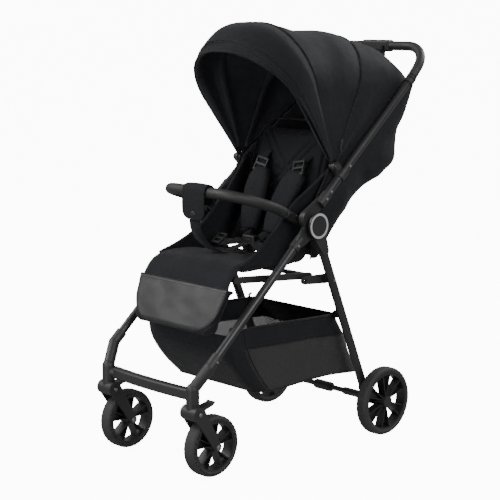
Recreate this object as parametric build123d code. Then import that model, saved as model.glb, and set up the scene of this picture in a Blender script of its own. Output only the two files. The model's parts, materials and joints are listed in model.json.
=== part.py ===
from build123d import *
import os
from math import acos, atan2, cos, degrees, hypot, radians, sin

# Compact folding baby stroller, in millimetres. +Z is up, the child faces -Y and X runs across.
# The origin is on the ground, under the middle of the bounding box.
# Most parts are drawn for the +X side and mirrored in the YZ plane.

# ---- driving dimensions ----
TUBE_X = 181.0  # middle of the long side tubes
TUBE_R = 10.5
FRONT_TUBE = ((-72.0, 545.0), (-372.0, 273.0))  # (y, z) of the upper and lower ends
UPPER_TUBE = ((-5.0, 624.0), (333.0, 921.0))
FOLD_PIVOT = (-48.0, 592.0)  # hinge of the handle frame
LEG_PIVOT = (-33.0, 576.0)  # hinge of the rear legs, under the round cap
HANDLE_CORNER = (410.0, 1006.0)  # where the handle turns across
HANDLE_BEND = 74.0
GRIP_R = 12.5

FRONT_WHEEL_R = 75.0
FRONT_WHEEL_HALF = 18.0
FRONT_WHEEL_X = 160.0
FRONT_AXLE = (-350.0, 75.0)
SWIVEL_Y = -407.0
FORK_PIVOT = (-405.0, 165.0)
REAR_WHEEL_R = 90.0
REAR_WHEEL_HALF = 16.0
REAR_WHEEL_X = 215.5
REAR_AXLE = (205.0, 90.0)
AXLE_R = 5.0

CANOPY_PIVOT = (55.0, 714.0)
BOW_ANGLES = {"rear": 64.5, "mid": 107.0, "front": 124.5}  # up from +Y, about the canopy pivot
BOW_REACH = {"rear": 350.0, "mid": 364.0, "front": 368.0}
BOW_LANE = {"rear": 165.2, "mid": 167.4, "front": 169.6}  # outer face of each bow's strip
BOW_T = 1.8
BOW_W = 10.0
BOW_CORNER = 150.0
CANOPY_HALF = 172.0
HOOD_HALF = 177.0  # the front panel bulges wider than the others

SEAT_HALF = 157.0
REST_HINGE = (-262.0, 462.0)  # leg rest, about the seat frame's front cross tube
BACK_HINGE = (-10.0, 442.0)  # backrest, about its rear cross tube
CROSS_R = 6.0
RAIL_X = 151.0
BAR_PIVOT = (-24.0, 575.0)  # bumper bar
BAR_X = 146.0
BAR_R = 12.5
BAR_FRONT = (-247.0, 662.0)

RUN = 0.06  # radial running clearance


# ---- helpers ----
def rod(a, b, r, bore=0.0):
    """Round bar or tube from point a to point b."""
    axis = Vector(*b) - Vector(*a)
    plane = Plane(origin=a, z_dir=axis)
    bar = extrude(plane * Circle(r), axis.length)
    if bore:
        bar -= extrude(plane * Circle(bore), axis.length)
    return bar


def disc(x0, x1, yz, r, bore=0.0):
    """Disc or ring about an axis along X."""
    return rod((x0, yz[0], yz[1]), (x1, yz[0], yz[1]), r, bore)


def slab(points, x0, x1):
    """Side profile of (y, z) points, extruded from x0 to x1."""
    plane = Plane(origin=(x0, 0, 0), x_dir=(0, 1, 0), z_dir=(1, 0, 0))
    face = make_face(Polyline(*points, close=True))
    return extrude(plane * face, x1 - x0)


def strap(a, b, ra, rb, x0, x1):
    """Flat link in the YZ plane: two round ends joined by their outer tangents."""
    dy, dz = b[0] - a[0], b[1] - a[1]
    heading = atan2(dz, dy)
    lean = acos((ra - rb) / hypot(dy, dz))
    corners = []
    for centre, r, turn in ((a, ra, lean), (b, rb, lean), (b, rb, -lean), (a, ra, -lean)):
        angle = heading + turn
        corners.append((centre[0] + r * cos(angle), centre[1] + r * sin(angle)))
    return slab(corners, x0, x1) + disc(x0, x1, a, ra) + disc(x0, x1, b, rb)


def ribbon(points, thickness, x0, x1):
    """Bent sheet that follows (y, z) points."""
    half = thickness / 2
    sheet = strap(points[0], points[1], half, half, x0, x1)
    for a, b in zip(points[1:-1], points[2:]):
        sheet += strap(a, b, half, half, x0, x1)
    return sheet


def along(segment, distance):
    """Point on a (y, z) segment, at a distance from its first end."""
    (ay, az), (by, bz) = segment
    length = hypot(by - ay, bz - az)
    return (ay + (by - ay) * distance / length, az + (bz - az) * distance / length)


def foot_on(segment, point):
    """Foot of the perpendicular from a (y, z) point to a segment's line."""
    (ay, az), (by, bz) = segment
    length = hypot(by - ay, bz - az)
    return along(segment, ((point[0] - ay) * (by - ay) + (point[1] - az) * (bz - az)) / length)


def at_x(yz, x=TUBE_X):
    return (x, yz[0], yz[1])


def flip(shape):
    return mirror(shape, Plane.YZ)


def save(name, *solids):
    """Write one node: the listed shapes stay separate solids."""
    pieces = [s for shape in solids for s in shape.solids()]
    shape = pieces[0] if len(pieces) == 1 else Compound(children=pieces)
    export_step(shape, f"parts/{name}.step")


def save_pair(name, shape):
    save(f"{name}_right", shape)
    save(f"{name}_left", flip(shape))


# ---- front frame ----
def front_tube():
    lower = along(FRONT_TUBE[::-1], 6)
    return rod(at_x(along(FRONT_TUBE, 4)), at_x(lower), TUBE_R, TUBE_R - 1.5)


def joint_housing():
    """Half joint fixed to the front tube: side plate, tube socket and the bumper bar's stub axle."""
    plate_x = (181.4, 191.0)
    socket_end = along(FRONT_TUBE, 34)
    body = strap(LEG_PIVOT, FOLD_PIVOT, 31, 24, *plate_x)
    body += strap(LEG_PIVOT, along(FRONT_TUBE, 10), 26, 13, *plate_x)
    socket = rod(at_x(FRONT_TUBE[0]), at_x(socket_end), 13.2)
    body += socket
    body -= rod(at_x(along(FRONT_TUBE, 4)), at_x(along(FRONT_TUBE, 40)), TUBE_R + 0.02)
    body += disc(BAR_X - 5, plate_x[1] - 2, BAR_PIVOT, 5.5)
    body -= disc(180, 193, FOLD_PIVOT, AXLE_R)
    body -= disc(180, 193, LEG_PIVOT, 6)
    return body


def main_pivot_bolts():
    """Fold bolt and rear leg bolt of one side."""
    fold = disc(168.5, 190.5, FOLD_PIVOT, AXLE_R - 0.02) + disc(166.5, 170.6, FOLD_PIVOT, 8)
    leg = disc(181.8, 202.4, LEG_PIVOT, 6 - 0.02) + disc(201.3, 203.6, LEG_PIVOT, 9)
    return fold, leg


def joint_cap():
    """Round cover over the joint, with a shallow ring groove and a domed face."""
    cap = disc(203.6, 208.0, LEG_PIVOT, 33)
    cap -= disc(206.4, 209.0, LEG_PIVOT, 31.5, 25.5)
    dome = disc(208.0, 209.4, LEG_PIVOT, 24)
    for angle in (30, 150, 270):
        foot = (LEG_PIVOT[0] + 25 * cos(radians(angle)), LEG_PIVOT[1] + 25 * sin(radians(angle)))
        cap += disc(202.2, 203.7, foot, 2.5)
    return cap + dome


def joint_ring():
    return disc(206.4, 208.8, LEG_PIVOT, 31.45, 25.55)


def front_crossbar():
    """One moulding: bowed cross member, two corners, tube sockets and caster posts."""
    section_plane = Plane(origin=(-150, -397, 206), x_dir=(0, 1, 0), z_dir=(1, -0.12, 0))
    path = ThreePointArc((-150, -397, 206), (0, -405, 206), (150, -397, 206))
    bar = sweep(section_plane * RectangleRounded(24, 28, 7), path)
    for side in (1, -1):
        post_x = side * FRONT_WHEEL_X
        tube_x = side * TUBE_X
        socket_low = (tube_x, *FRONT_TUBE[1])
        post_top = (post_x, SWIVEL_Y, 222)
        bar += rod(socket_low, (tube_x, *along(FRONT_TUBE[::-1], 34)), 13.6)
        bar += rod(socket_low, post_top, 14.2)
        bar += Pos(*socket_low) * Sphere(14.0)
        bar += Pos(*post_top) * Sphere(16.0)
        bar += rod((post_x, SWIVEL_Y, 187), post_top, 16.0)
        bar += rod((side * 140, -398, 206), (post_x, SWIVEL_Y, 208), 13.5)
    for side in (1, -1):
        tube_x = side * TUBE_X
        tube_low = (tube_x, *along(FRONT_TUBE[::-1], 6))
        bar -= rod(tube_low, (tube_x, *along(FRONT_TUBE[::-1], 50)), TUBE_R + 0.02)
        bar -= rod((side * FRONT_WHEEL_X, SWIVEL_Y, 186), (side * FRONT_WHEEL_X, SWIVEL_Y, 226), 8 + RUN)
    return bar


# ---- casters and wheels ----
def caster_fork():
    """Swivelling fork: stem, cross barrel and two tapered arms."""
    x = FRONT_WHEEL_X
    inner, outer = FRONT_WHEEL_HALF + 1.8, FRONT_WHEEL_HALF + 7.6
    fork = rod((x, SWIVEL_Y, 165), (x, SWIVEL_Y, 224), 8)
    fork += rod((x, SWIVEL_Y, 165), (x, SWIVEL_Y, 186.6), 15.4)
    fork += disc(x - outer, x + outer, (SWIVEL_Y, FORK_PIVOT[1]), 18)
    for x0, x1 in ((x + inner, x + outer), (x - outer, x - inner)):
        fork += strap(FORK_PIVOT, FRONT_AXLE, 17, 11, x0, x1)
    for side in (1, -1):
        face = x + side * outer
        fork += disc(min(face, face + side), max(face, face + side), FORK_PIVOT, 6)
    fork -= disc(x - outer - 1, x + outer + 1, FRONT_AXLE, AXLE_R + 0.01)
    fork -= disc(x - 13, x + 13, (SWIVEL_Y + 19, FORK_PIVOT[1] + 6), 7.5)
    fork += disc(x - 14, x + 14, (SWIVEL_Y + 19, FORK_PIVOT[1] + 6), 2.5)
    return fork


def front_axle():
    """Axle bolt with a low round head at each end."""
    reach = FRONT_WHEEL_HALF + 7.6
    x = FRONT_WHEEL_X
    bolt = disc(x - reach, x + reach, FRONT_AXLE, AXLE_R)
    for side in (1, -1):
        ends = sorted((x + side * reach, x + side * (reach + 2.2)))
        bolt += disc(*ends, FRONT_AXLE, 7)
    return bolt


def swivel_lock():
    """Foot lever behind the fork head that locks the swivel."""
    x = FRONT_WHEEL_X
    hinge = (SWIVEL_Y + 19, FORK_PIVOT[1] + 6)
    tip = (hinge[0] + 33, hinge[1] + 8)
    lever = disc(x - 12, x + 12, hinge, 6.6) + strap(hinge, tip, 5, 3, x - 12, x + 12)
    lever += strap(tip, (tip[0] + 6, tip[1] + 4), 3, 2.5, x - 12, x + 12)
    return lever - disc(x - 13, x + 13, hinge, 2.5 + RUN)


def tyre(radius, half, wall):
    """Solid tyre with rounded shoulders, about the X axis."""
    ring = disc(-half, half, (0, 0), radius, radius - wall)
    shoulders = ring.edges().filter_by(GeomType.CIRCLE).sort_by(lambda edge: edge.radius)[-2:]
    return fillet(shoulders, min(8.0, wall - 3))


def rim(radius, half, hub_r, pairs, splay, blade):
    """Spoked rim: felloe, hub and V-shaped pairs of deep blades with a thin web in each V, about X."""
    felloe = disc(-half + 1.5, half - 1.5, (0, 0), radius, radius - 4.5)
    shape = felloe + disc(-half, half, (0, 0), hub_r)
    root = hub_r * 0.6
    length = radius - 2 - root
    lean = degrees(atan2(splay, length))
    foot = [(0, root), (-splay * 0.8, root + length * 0.8), (splay * 0.8, root + length * 0.8)]
    web = slab(foot, -1.5, 1.5)
    for i in range(pairs):
        turn = Rot(360 * i / pairs, 0, 0)
        shape += turn * web
        for side in (-1, 1):
            spoke = Pos(0, 0, length / 2) * Box(2 * half - 8, blade, length)
            shape += turn * Pos(0, 0, root) * Rot(side * lean, 0, 0) * spoke
    shape -= disc(-half - 1, half + 1, (0, 0), AXLE_R + RUN)
    return shape


def front_wheel():
    wall = 14.0
    place = Pos(FRONT_WHEEL_X, *FRONT_AXLE)
    rolling = tyre(FRONT_WHEEL_R, FRONT_WHEEL_HALF, wall)
    return place * rolling, place * rim(FRONT_WHEEL_R - wall, FRONT_WHEEL_HALF, 13, 5, 13, 2.4)


def rear_wheel():
    wall = 15.0
    place = Pos(REAR_WHEEL_X, *REAR_AXLE)
    rolling = tyre(REAR_WHEEL_R, REAR_WHEEL_HALF, wall)
    spoked = rim(REAR_WHEEL_R - wall, REAR_WHEEL_HALF, 15, 6, 15, 2.4)
    spoked += disc(REAR_WHEEL_HALF - 1, REAR_WHEEL_HALF + 2.5, (0, 0), 15)
    spoked -= disc(-REAR_WHEEL_HALF - 1, REAR_WHEEL_HALF - 0.5, (0, 0), AXLE_R + RUN)
    return place * rolling, place * spoked


# ---- rear frame ----
LEG_TOP = (-2.0, 511.0)
LEG_FOOT = (168.0, 106.0)
LEG_SCREW = (34.0, 431.0)
LINK_END = (-40.0, 435.0)


def rear_leg():
    """Flat oval tube from the joint to the axle bracket."""
    plane = Plane(origin=(190, *LEG_TOP), x_dir=(1, 0, 0),
                  z_dir=(0, LEG_FOOT[0] - LEG_TOP[0], LEG_FOOT[1] - LEG_TOP[1]))
    length = hypot(LEG_FOOT[0] - LEG_TOP[0], LEG_FOOT[1] - LEG_TOP[1])
    leg = extrude(plane * SlotOverall(25, 14, rotation=90), length)
    core = extrude(plane * SlotOverall(22, 11, rotation=90), length)
    return leg - core


def rear_knuckle():
    """Hinge plate outside the joint housing, with a plug in the leg's top."""
    plug_top = along((LEG_TOP, LEG_FOOT), 2)
    plate = strap(LEG_PIVOT, plug_top, 25, 11.5, 195.0, 201.0)
    plane = Plane(origin=(190, *LEG_TOP), x_dir=(1, 0, 0),
                  z_dir=(0, LEG_FOOT[0] - LEG_TOP[0], LEG_FOOT[1] - LEG_TOP[1]))
    collar = extrude(plane * SlotOverall(28, 17, rotation=90), 12)
    plate += collar
    plate += extrude(plane * SlotOverall(21.9, 10.9, rotation=90), 40)
    leg_bore = extrude(plane * SlotOverall(25.04, 14.04, rotation=90), 60)
    leg_bore -= extrude(plane * SlotOverall(21.9, 10.9, rotation=90), 60)
    plate -= leg_bore
    return plate - disc(194, 202, LEG_PIVOT, 6 + RUN)


def rear_axle():
    """One axle tube across, with thicker sleeves beside the wheels and stub ends in the hubs."""
    stub = REAR_WHEEL_X + REAR_WHEEL_HALF - 1.2
    axle = disc(-stub, stub, REAR_AXLE, AXLE_R)
    axle += disc(-196, 196, REAR_AXLE, 7)
    for ends in ((80, 178), (-178, -80)):
        axle += disc(*ends, REAR_AXLE, 10)
    axle += disc(-26, -22, REAR_AXLE, 12) + disc(28, 32, REAR_AXLE, 12)
    return axle


def axle_bracket():
    """Moulded foot between the leg and the axle."""
    foot = strap(REAR_AXLE, (170, 102), 15, 15, 179, 197.4)
    plane = Plane(origin=(190, *LEG_TOP), x_dir=(1, 0, 0),
                  z_dir=(0, LEG_FOOT[0] - LEG_TOP[0], LEG_FOOT[1] - LEG_TOP[1]))
    length = hypot(LEG_FOOT[0] - LEG_TOP[0], LEG_FOOT[1] - LEG_TOP[1])
    boot = Plane(origin=plane.origin + plane.z_dir * (length - 34), x_dir=plane.x_dir,
                 z_dir=plane.z_dir)
    foot += extrude(boot * SlotOverall(31, 15.2, rotation=90), 40)
    foot -= extrude(plane * SlotOverall(25.04, 14.04, rotation=90), length)
    foot -= disc(178, 199, REAR_AXLE, 7.02)
    return foot


def rear_link():
    """Short strut under the seat, screwed to the leg."""
    link = strap(LINK_END, LEG_SCREW, 10, 12, 161.5, 168.8)
    link += disc(168.0, 183.0, LEG_SCREW, 8)
    link -= disc(160, 170, LINK_END, 4)
    return link


def leg_screw():
    return disc(197.1, 199.0, LEG_SCREW, 4.5)


def brake_pedal():
    """Foot pedal that turns on the axle tube."""
    pedal = disc(-21.5, 27.5, REAR_AXLE, 13)
    tip = (REAR_AXLE[0] + 34, REAR_AXLE[1] - 12)
    pedal += strap(REAR_AXLE, tip, 9, 4, -21.5, 27.5)
    return pedal - disc(-23, 29, REAR_AXLE, 7 + RUN)


# ---- handle frame ----
def upper_tube():
    return rod(at_x(along(UPPER_TUBE, 6)), at_x(UPPER_TUBE[1]), TUBE_R, TUBE_R - 1.5)


def upper_knuckle():
    """Half joint of the handle frame: inner side plate and tube socket."""
    socket_end = along(UPPER_TUBE, 36)
    plate = strap(FOLD_PIVOT, along(UPPER_TUBE, 8), 20, 12.5, 171.0, 180.8)
    plate += rod(at_x(UPPER_TUBE[0]), at_x(socket_end), 13.2)
    plate -= rod(at_x(along(UPPER_TUBE, 6)), at_x(along(UPPER_TUBE, 44)), TUBE_R + 0.02)
    return plate - disc(169, 182, FOLD_PIVOT, AXLE_R + 0.04)


def handle_path():
    low = UPPER_TUBE[1]
    corners = [(TUBE_X, *low), (TUBE_X, *HANDLE_CORNER), (-TUBE_X, *HANDLE_CORNER), (-TUBE_X, *low)]
    return FilletPolyline(*corners, radius=HANDLE_BEND)


def handle_bar():
    """Bent tube that joins the two side tubes."""
    path = handle_path()
    start = Plane(origin=path @ 0, z_dir=path % 0)
    bar = sweep(start * Circle(TUBE_R - 1.6), path)
    for side in (1, -1):
        low = UPPER_TUBE[1]
        plug = (side * TUBE_X, *along((low, UPPER_TUBE[0]), 22))
        bar += rod(plug, (side * TUBE_X, *along((low, UPPER_TUBE[0]), 1)), TUBE_R - 1.6)
        bar += Pos(side * TUBE_X, *low) * Sphere(TUBE_R - 1.6)
    return bar


def handle_grip():
    """Padded sleeve over the bent tube, open where the fold housing clamps on."""
    path = handle_path()
    start = Plane(origin=path @ 0, z_dir=path % 0)
    sleeve = sweep(start * Circle(GRIP_R), path) - sweep(start * Circle(TUBE_R - 1.58), path)
    window = Pos(0, *HANDLE_CORNER) * Box(98, 60, 60)
    sleeve -= window
    for side in (1, -1):
        ends = [(side * TUBE_X, *along((UPPER_TUBE[1], HANDLE_CORNER), at)) for at in (-1, 12)]
        sleeve -= rod(*ends, 20)
    return sleeve


def handle_collar():
    """Ring over the joint between side tube and handle."""
    low = UPPER_TUBE[1]
    segment = (low, HANDLE_CORNER)
    ring = rod(at_x(along((low, UPPER_TUBE[0]), 14)), at_x(low), 13.4, TUBE_R + 0.02)
    upper = rod(at_x(along(segment, 3)), at_x(along(segment, 9)), 13.4, TUBE_R - 1.58)
    return ring, upper


def canopy_bracket():
    """Clamp on the side tube that carries the canopy's pivot pin."""
    foot = foot_on(UPPER_TUBE, CANOPY_PIVOT)
    dy, dz = UPPER_TUBE[1][0] - UPPER_TUBE[0][0], UPPER_TUBE[1][1] - UPPER_TUBE[0][1]
    length = hypot(dy, dz)
    half = (dy / length * 13, dz / length * 13)
    ends = (at_x((foot[0] - half[0], foot[1] - half[1])), at_x((foot[0] + half[0], foot[1] + half[1])))
    clamp = rod(*ends, 13.6) + strap(CANOPY_PIVOT, foot, 11.5, 11.5, 170.9, 184.0)
    clamp -= rod(*ends, TUBE_R + 0.02)
    clamp -= rod(at_x((foot[0] - 3 * half[0], foot[1] - 3 * half[1])),
                 at_x((foot[0] + 3 * half[0], foot[1] + 3 * half[1])), TUBE_R + 0.02)
    clamp -= disc(150, TUBE_X - TUBE_R + 0.2, foot, 40)
    clamp += disc(162.4, 172.0, CANOPY_PIVOT, AXLE_R)
    clamp += disc(183.0, 188.5, CANOPY_PIVOT, 9.5)
    return clamp


def fold_housing():
    """Plastic housing clamped round the middle of the handle."""
    y, z = HANDLE_CORNER
    body = fillet((Pos(0, y, z) * Box(96, 30, 32)).edges(), 7)
    body += fillet((Pos(-8, y - 2, z - 21) * Box(56, 24, 16)).edges(), 3)
    body -= disc(-50, 50, HANDLE_CORNER, TUBE_R - 1.58)
    body -= Pos(0, y - 2, z - 26) * Box(30, 14, 16)
    body -= Pos(30, y - 14, z - 4) * Box(14, 8, 9)
    return body


def fold_trigger():
    """Finger trigger under the housing."""
    y, z = HANDLE_CORNER
    return fillet((Pos(0, y - 2, z - 29) * Box(29, 13, 14)).edges().group_by(Axis.Z)[0], 3)


def fold_lock():
    """Thumb slide in front of the housing that frees the trigger."""
    y, z = HANDLE_CORNER
    return Pos(28, y - 15.5, z - 4) * Box(9, 9.5, 8)


def back_cover():
    """Fabric bag behind the backrest, open at the front and the top."""
    x = 158.0
    outline = [(380, 908), (342, 825), (324, 775), (319, 700), (266, 675), (160, 622), (92, 550), (44, 500)]
    cover = ribbon(outline, 2.4, -x, x)
    side = outline + [(24, 508), (60, 580), (90, 672), (150, 770), (352, 898)]
    for x0, x1 in ((x - 2.4, x), (-x, -x + 2.4)):
        cover += slab(side, x0, x1)
    return cover


# ---- canopy ----
def bow_plane(angle):
    """Plane through the canopy pivot: local x is across, local y runs out along the angle."""
    a = radians(angle)
    return Plane(origin=(0, *CANOPY_PIVOT), x_dir=(1, 0, 0), z_dir=(0, -sin(a), cos(a)))


def arch(half, reach, corner, start):
    """Area under an arch of straight sides and a rounded top."""
    area = Pos(0, (reach + start) / 2) * Rectangle(2 * half, reach - start)
    return fillet(area.vertices().group_by(Axis.Y)[-1], corner)


def bow(kind):
    """Flat strip bent over the child, with an eyelet at each end."""
    half, reach = BOW_LANE[kind], BOW_REACH[kind]
    strip = arch(half, reach, BOW_CORNER, 0) - arch(half - BOW_T, reach - BOW_T, BOW_CORNER - BOW_T, -1)
    shape = extrude(bow_plane(BOW_ANGLES[kind]) * strip, BOW_W / 2, both=True)
    for x0, x1 in ((half - BOW_T, half), (-half, -half + BOW_T)):
        shape += disc(x0, x1, CANOPY_PIVOT, 9)
        shape -= disc(x0 - 0.01, x1 + 0.01, CANOPY_PIVOT, AXLE_R + RUN)
    return shape


def canopy_panel(stations):
    """Fabric skin through stations of (angle, reach, half width)."""
    skin = 1.4
    faces = []
    for angle, reach, half in stations:
        corner = BOW_CORNER + 2
        shape = arch(half, reach, corner, 30) - arch(half - skin, reach - skin, corner - skin, 29)
        faces.append(bow_plane(angle) * shape)
    return loft(faces, ruled=True)


CANOPY_PANELS = {
    "front": [(128.0, 374.0, HOOD_HALF), (115.0, 388.0, HOOD_HALF), (107.6, 376.0, CANOPY_HALF)],
    "middle": [(106.4, 375.0, CANOPY_HALF), (86.0, 346.0, CANOPY_HALF), (65.2, 362.0, CANOPY_HALF)],
    "rear": [(63.8, 362.0, CANOPY_HALF), (50.0, 384.0, 170.0), (38.0, 378.0, 161.5)],
}


# ---- seat ----
def seat_frame():
    """Two side rails, front and rear cross tubes and the stubs to the front tubes."""
    frame = disc(-RAIL_X - 4, RAIL_X + 4, REST_HINGE, CROSS_R)
    frame += disc(-RAIL_X - 4, RAIL_X + 4, BACK_HINGE, CROSS_R)
    stub = (-172.0, 454.0)
    for side in (1, -1):
        ends = sorted((side * (RAIL_X - 4), side * (RAIL_X + 4)))
        frame += strap(REST_HINGE, BACK_HINGE, 8, 8, *ends)
        reach = sorted((side * RAIL_X, side * (TUBE_X - TUBE_R - 0.1)))
        frame += disc(*reach, stub, 8)
    return frame


def seat_pad():
    pad = slab([(-240, 472), (-34, 474), (-34, 494), (-60, 492), (-238, 492)], -SEAT_HALF, SEAT_HALF)
    return fillet(pad.edges().filter_by(Axis.Z), 12)


def backrest_pad():
    """Board and pad, with two sleeves that turn on the rear cross tube."""
    front = [(-26, 502), (56, 668), (103, 816)]
    back = [(128, 808), (80, 655), (-4, 492)]
    pad = slab(front + back, -148, 148)
    for x0, x1 in ((-110, -60), (60, 110)):
        pad += strap(BACK_HINGE, (-12, 500), 10, 6, x0, x1)
    return pad - disc(-112, 112, BACK_HINGE, CROSS_R + RUN)


def shoulder_pad():
    """Harness pad that lies on the backrest."""
    low, high = Vector(28, -25.5, 542.5), Vector(60, 38.5, 672.5)
    plane = Plane(origin=low, x_dir=(1, -0.3, -0.1), z_dir=high - low)
    pad = extrude(plane * RectangleRounded(66, 18, 8), (high - low).length)
    return pad


def leg_rest():
    """Padded calf rest, with sleeves that turn on the front cross tube."""
    profile = [(-280, 466), (-292, 441), (-345, 330), (-327, 321), (-276, 428), (-266, 440), (-262, 452)]
    board = slab(profile, -160, 160)
    rounded = Plane(origin=(0, -400, 0), x_dir=(1, 0, 0), z_dir=(0, -1, 0))
    mask = rounded * (Pos(0, 420) * Rectangle(312, 120) + Pos(0, 355) * RectangleRounded(312, 80, 38))
    board = board & extrude(mask, -200)
    for x0, x1 in ((142, 161), (-161, -142)):
        board -= disc(x0, x1, REST_HINGE, 9.4)
    for x0, x1 in ((-90, -50), (50, 90)):
        board += disc(x0, x1, REST_HINGE, 9.5)
    return board - disc(-161, 161, REST_HINGE, CROSS_R + RUN)


def bumper_path():
    """Middle line of the bar: from one end, forward along the arm and across the front."""
    root, mid = (-52.0, 588.0), (-120.0, 622.0)
    corners = [(BAR_X, *root), (BAR_X, *mid), (BAR_X, *BAR_FRONT)]
    corners += [(-x, y, z) for x, y, z in reversed(corners)]
    return FilletPolyline(*corners, radius=[150, 70, 70, 150])


def bumper_bar():
    path = bumper_path()
    start = Plane(origin=path @ 0, z_dir=path % 0)
    bar = sweep(start * Circle(BAR_R), path)
    for side in (1, -1):
        x0, x1 = sorted((side * (BAR_X - 9), side * (BAR_X + 9)))
        bar += strap(BAR_PIVOT, (-58, 591), 10, 11, x0, x1)
        pocket = sorted((side * (BAR_X + 5), side * (BAR_X + 14)))
        bar -= disc(*pocket, (-76, 600), 6.2)
    return bar - disc(-BAR_X - 20, BAR_X + 20, BAR_PIVOT, 5.5 + RUN)


def bumper_button():
    """Oval release button in the end of the bar."""
    return disc(BAR_X + 7.6, BAR_X + 13.2, (-76, 600), 6)


def crotch_strap():
    """Flap that wraps the bar and the webbing that runs down to the seat."""
    y, z = BAR_FRONT
    band = disc(-26, 26, BAR_FRONT, BAR_R + 3.4, BAR_R + 0.4)
    tail = [(y - 14.4, z), (y - 13, 600), (y + 2, 556), (y + 36, 520), (y + 72, 500), (y + 84, 494.2)]
    band += ribbon(tail, 2.6, -26, 26)
    return band - disc(-27, 27, BAR_FRONT, BAR_R + 0.4)


def harness_buckle():
    """Central buckle, standing on the seat."""
    body = fillet((Pos(0, -70, 515) * Box(44, 18, 40)).edges(), 4)
    body += fillet((Pos(0, -70, 497) * Box(26, 12, 8)).edges(), 1)
    return body - Pos(0, -78.5, 517) * Box(18, 13, 18)


def buckle_button():
    return fillet((Pos(0, -77.6, 517) * Box(17, 4.6, 17)).edges().group_by(Axis.Y)[0], 1.5)


def side_wall():
    """Fabric between the seat's edge and the side tubes."""
    outline = [(-232, 476), (-120, 540), (-66, 600), (60, 700), (70, 680), (0, 545), (-36, 478)]
    return slab(outline, 159.5, 161.5) - disc(158, 163, BAR_PIVOT, 9)


def basket():
    """Open-topped bag under the seat, its lower front corner rounded."""
    edge = [(-288, 330), (-276, 272), (-250, 226), (-188, 175), (-110, 168), (60, 171), (180, 164), (88, 332)]
    bag = ribbon(edge, 2.4, -163, 163)
    for x0, x1 in ((160.6, 163), (-163, -160.6)):
        bag += slab(edge, x0, x1)
    return bag


# ---- write every node ----
def write_front_frame():
    save_pair("front_tube", front_tube())
    save("front_crossbar", front_crossbar())
    save_pair("joint_housing", joint_housing())
    bolts = main_pivot_bolts()
    save("main_pivot_bolts", *bolts, *[flip(bolt) for bolt in bolts])
    save("joint_caps", joint_cap(), flip(joint_cap()))
    save("joint_rings", joint_ring(), flip(joint_ring()))
    save("seat_frame", seat_frame())
    save("seat_pad", seat_pad())
    save("side_walls", side_wall(), flip(side_wall()))
    save("basket", basket())
    save("harness_buckle", harness_buckle())
    save("buckle_button", buckle_button())


def write_handle_frame():
    save_pair("upper_tube", upper_tube())
    save("upper_knuckles", upper_knuckle(), flip(upper_knuckle()))
    save("handle_bar", handle_bar())
    save("handle_grip", handle_grip())
    rings = handle_collar()
    save("handle_collars", *rings, *[flip(ring) for ring in rings])
    save("canopy_brackets", canopy_bracket(), flip(canopy_bracket()))
    save("fold_housing", fold_housing())
    save("fold_trigger", fold_trigger())
    save("fold_lock", fold_lock())
    save("back_cover", back_cover())


def write_rear_frame():
    save_pair("rear_leg", rear_leg())
    save("rear_knuckles", rear_knuckle(), flip(rear_knuckle()))
    save("rear_axle", rear_axle())
    save("axle_brackets", axle_bracket(), flip(axle_bracket()))
    save("rear_links", rear_link(), flip(rear_link()))
    save("leg_screws", leg_screw(), flip(leg_screw()))
    save("brake_pedal", brake_pedal())


def write_wheels():
    save_pair("caster_fork", caster_fork())
    save_pair("front_axle", front_axle())
    save_pair("swivel_lock", swivel_lock())
    for name, wheel in (("front", front_wheel()), ("rear", rear_wheel())):
        save_pair(f"{name}_tyre", wheel[0])
        save_pair(f"{name}_rim", wheel[1])


def write_canopy():
    for kind in BOW_ANGLES:
        save(f"canopy_{kind}_bow", bow(kind))
    for name, stations in CANOPY_PANELS.items():
        save(f"canopy_panel_{name}", canopy_panel(stations))


def write_seat_parts():
    save("backrest_pad", backrest_pad())
    save("shoulder_pads", shoulder_pad(), flip(shoulder_pad()))
    save("leg_rest", leg_rest())
    save("bumper_bar", bumper_bar())
    save_pair("bumper_button", bumper_button())
    save("crotch_strap", crotch_strap())


os.makedirs("parts", exist_ok=True)
write_front_frame()
write_handle_frame()
write_rear_frame()
write_wheels()
write_canopy()
write_seat_parts()
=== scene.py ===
import json
from math import atan2, cos, pi, radians, sin

import bpy
import numpy as np
from mathutils import Euler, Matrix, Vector
from mathutils.bvhtree import BVHTree


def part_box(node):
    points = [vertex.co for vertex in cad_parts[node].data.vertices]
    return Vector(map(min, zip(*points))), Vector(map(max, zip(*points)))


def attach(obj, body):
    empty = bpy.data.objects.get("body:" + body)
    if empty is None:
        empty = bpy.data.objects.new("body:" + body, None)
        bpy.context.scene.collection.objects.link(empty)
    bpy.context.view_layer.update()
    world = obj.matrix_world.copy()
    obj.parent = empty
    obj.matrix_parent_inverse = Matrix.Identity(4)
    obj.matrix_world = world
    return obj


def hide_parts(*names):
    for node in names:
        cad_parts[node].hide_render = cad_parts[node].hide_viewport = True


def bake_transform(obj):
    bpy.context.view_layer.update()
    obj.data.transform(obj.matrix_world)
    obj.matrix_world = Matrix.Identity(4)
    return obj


# Looks of the folding baby stroller, in metres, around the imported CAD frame.
# +Z is up, the child faces -Y, and X runs across. Near means +X.

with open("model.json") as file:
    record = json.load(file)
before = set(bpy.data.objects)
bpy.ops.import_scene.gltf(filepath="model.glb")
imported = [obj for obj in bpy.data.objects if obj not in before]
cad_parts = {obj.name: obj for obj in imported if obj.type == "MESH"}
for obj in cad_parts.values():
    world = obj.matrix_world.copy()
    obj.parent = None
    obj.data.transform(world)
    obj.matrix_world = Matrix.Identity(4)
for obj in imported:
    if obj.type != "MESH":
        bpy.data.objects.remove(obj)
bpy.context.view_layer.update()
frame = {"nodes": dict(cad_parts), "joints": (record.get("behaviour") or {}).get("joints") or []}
nodes = frame["nodes"]
pivot = {joint["name"]: joint.get("pos_m") for joint in frame["joints"]}
CANOPY = np.array(pivot["canopy_swing"][1:])


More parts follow.
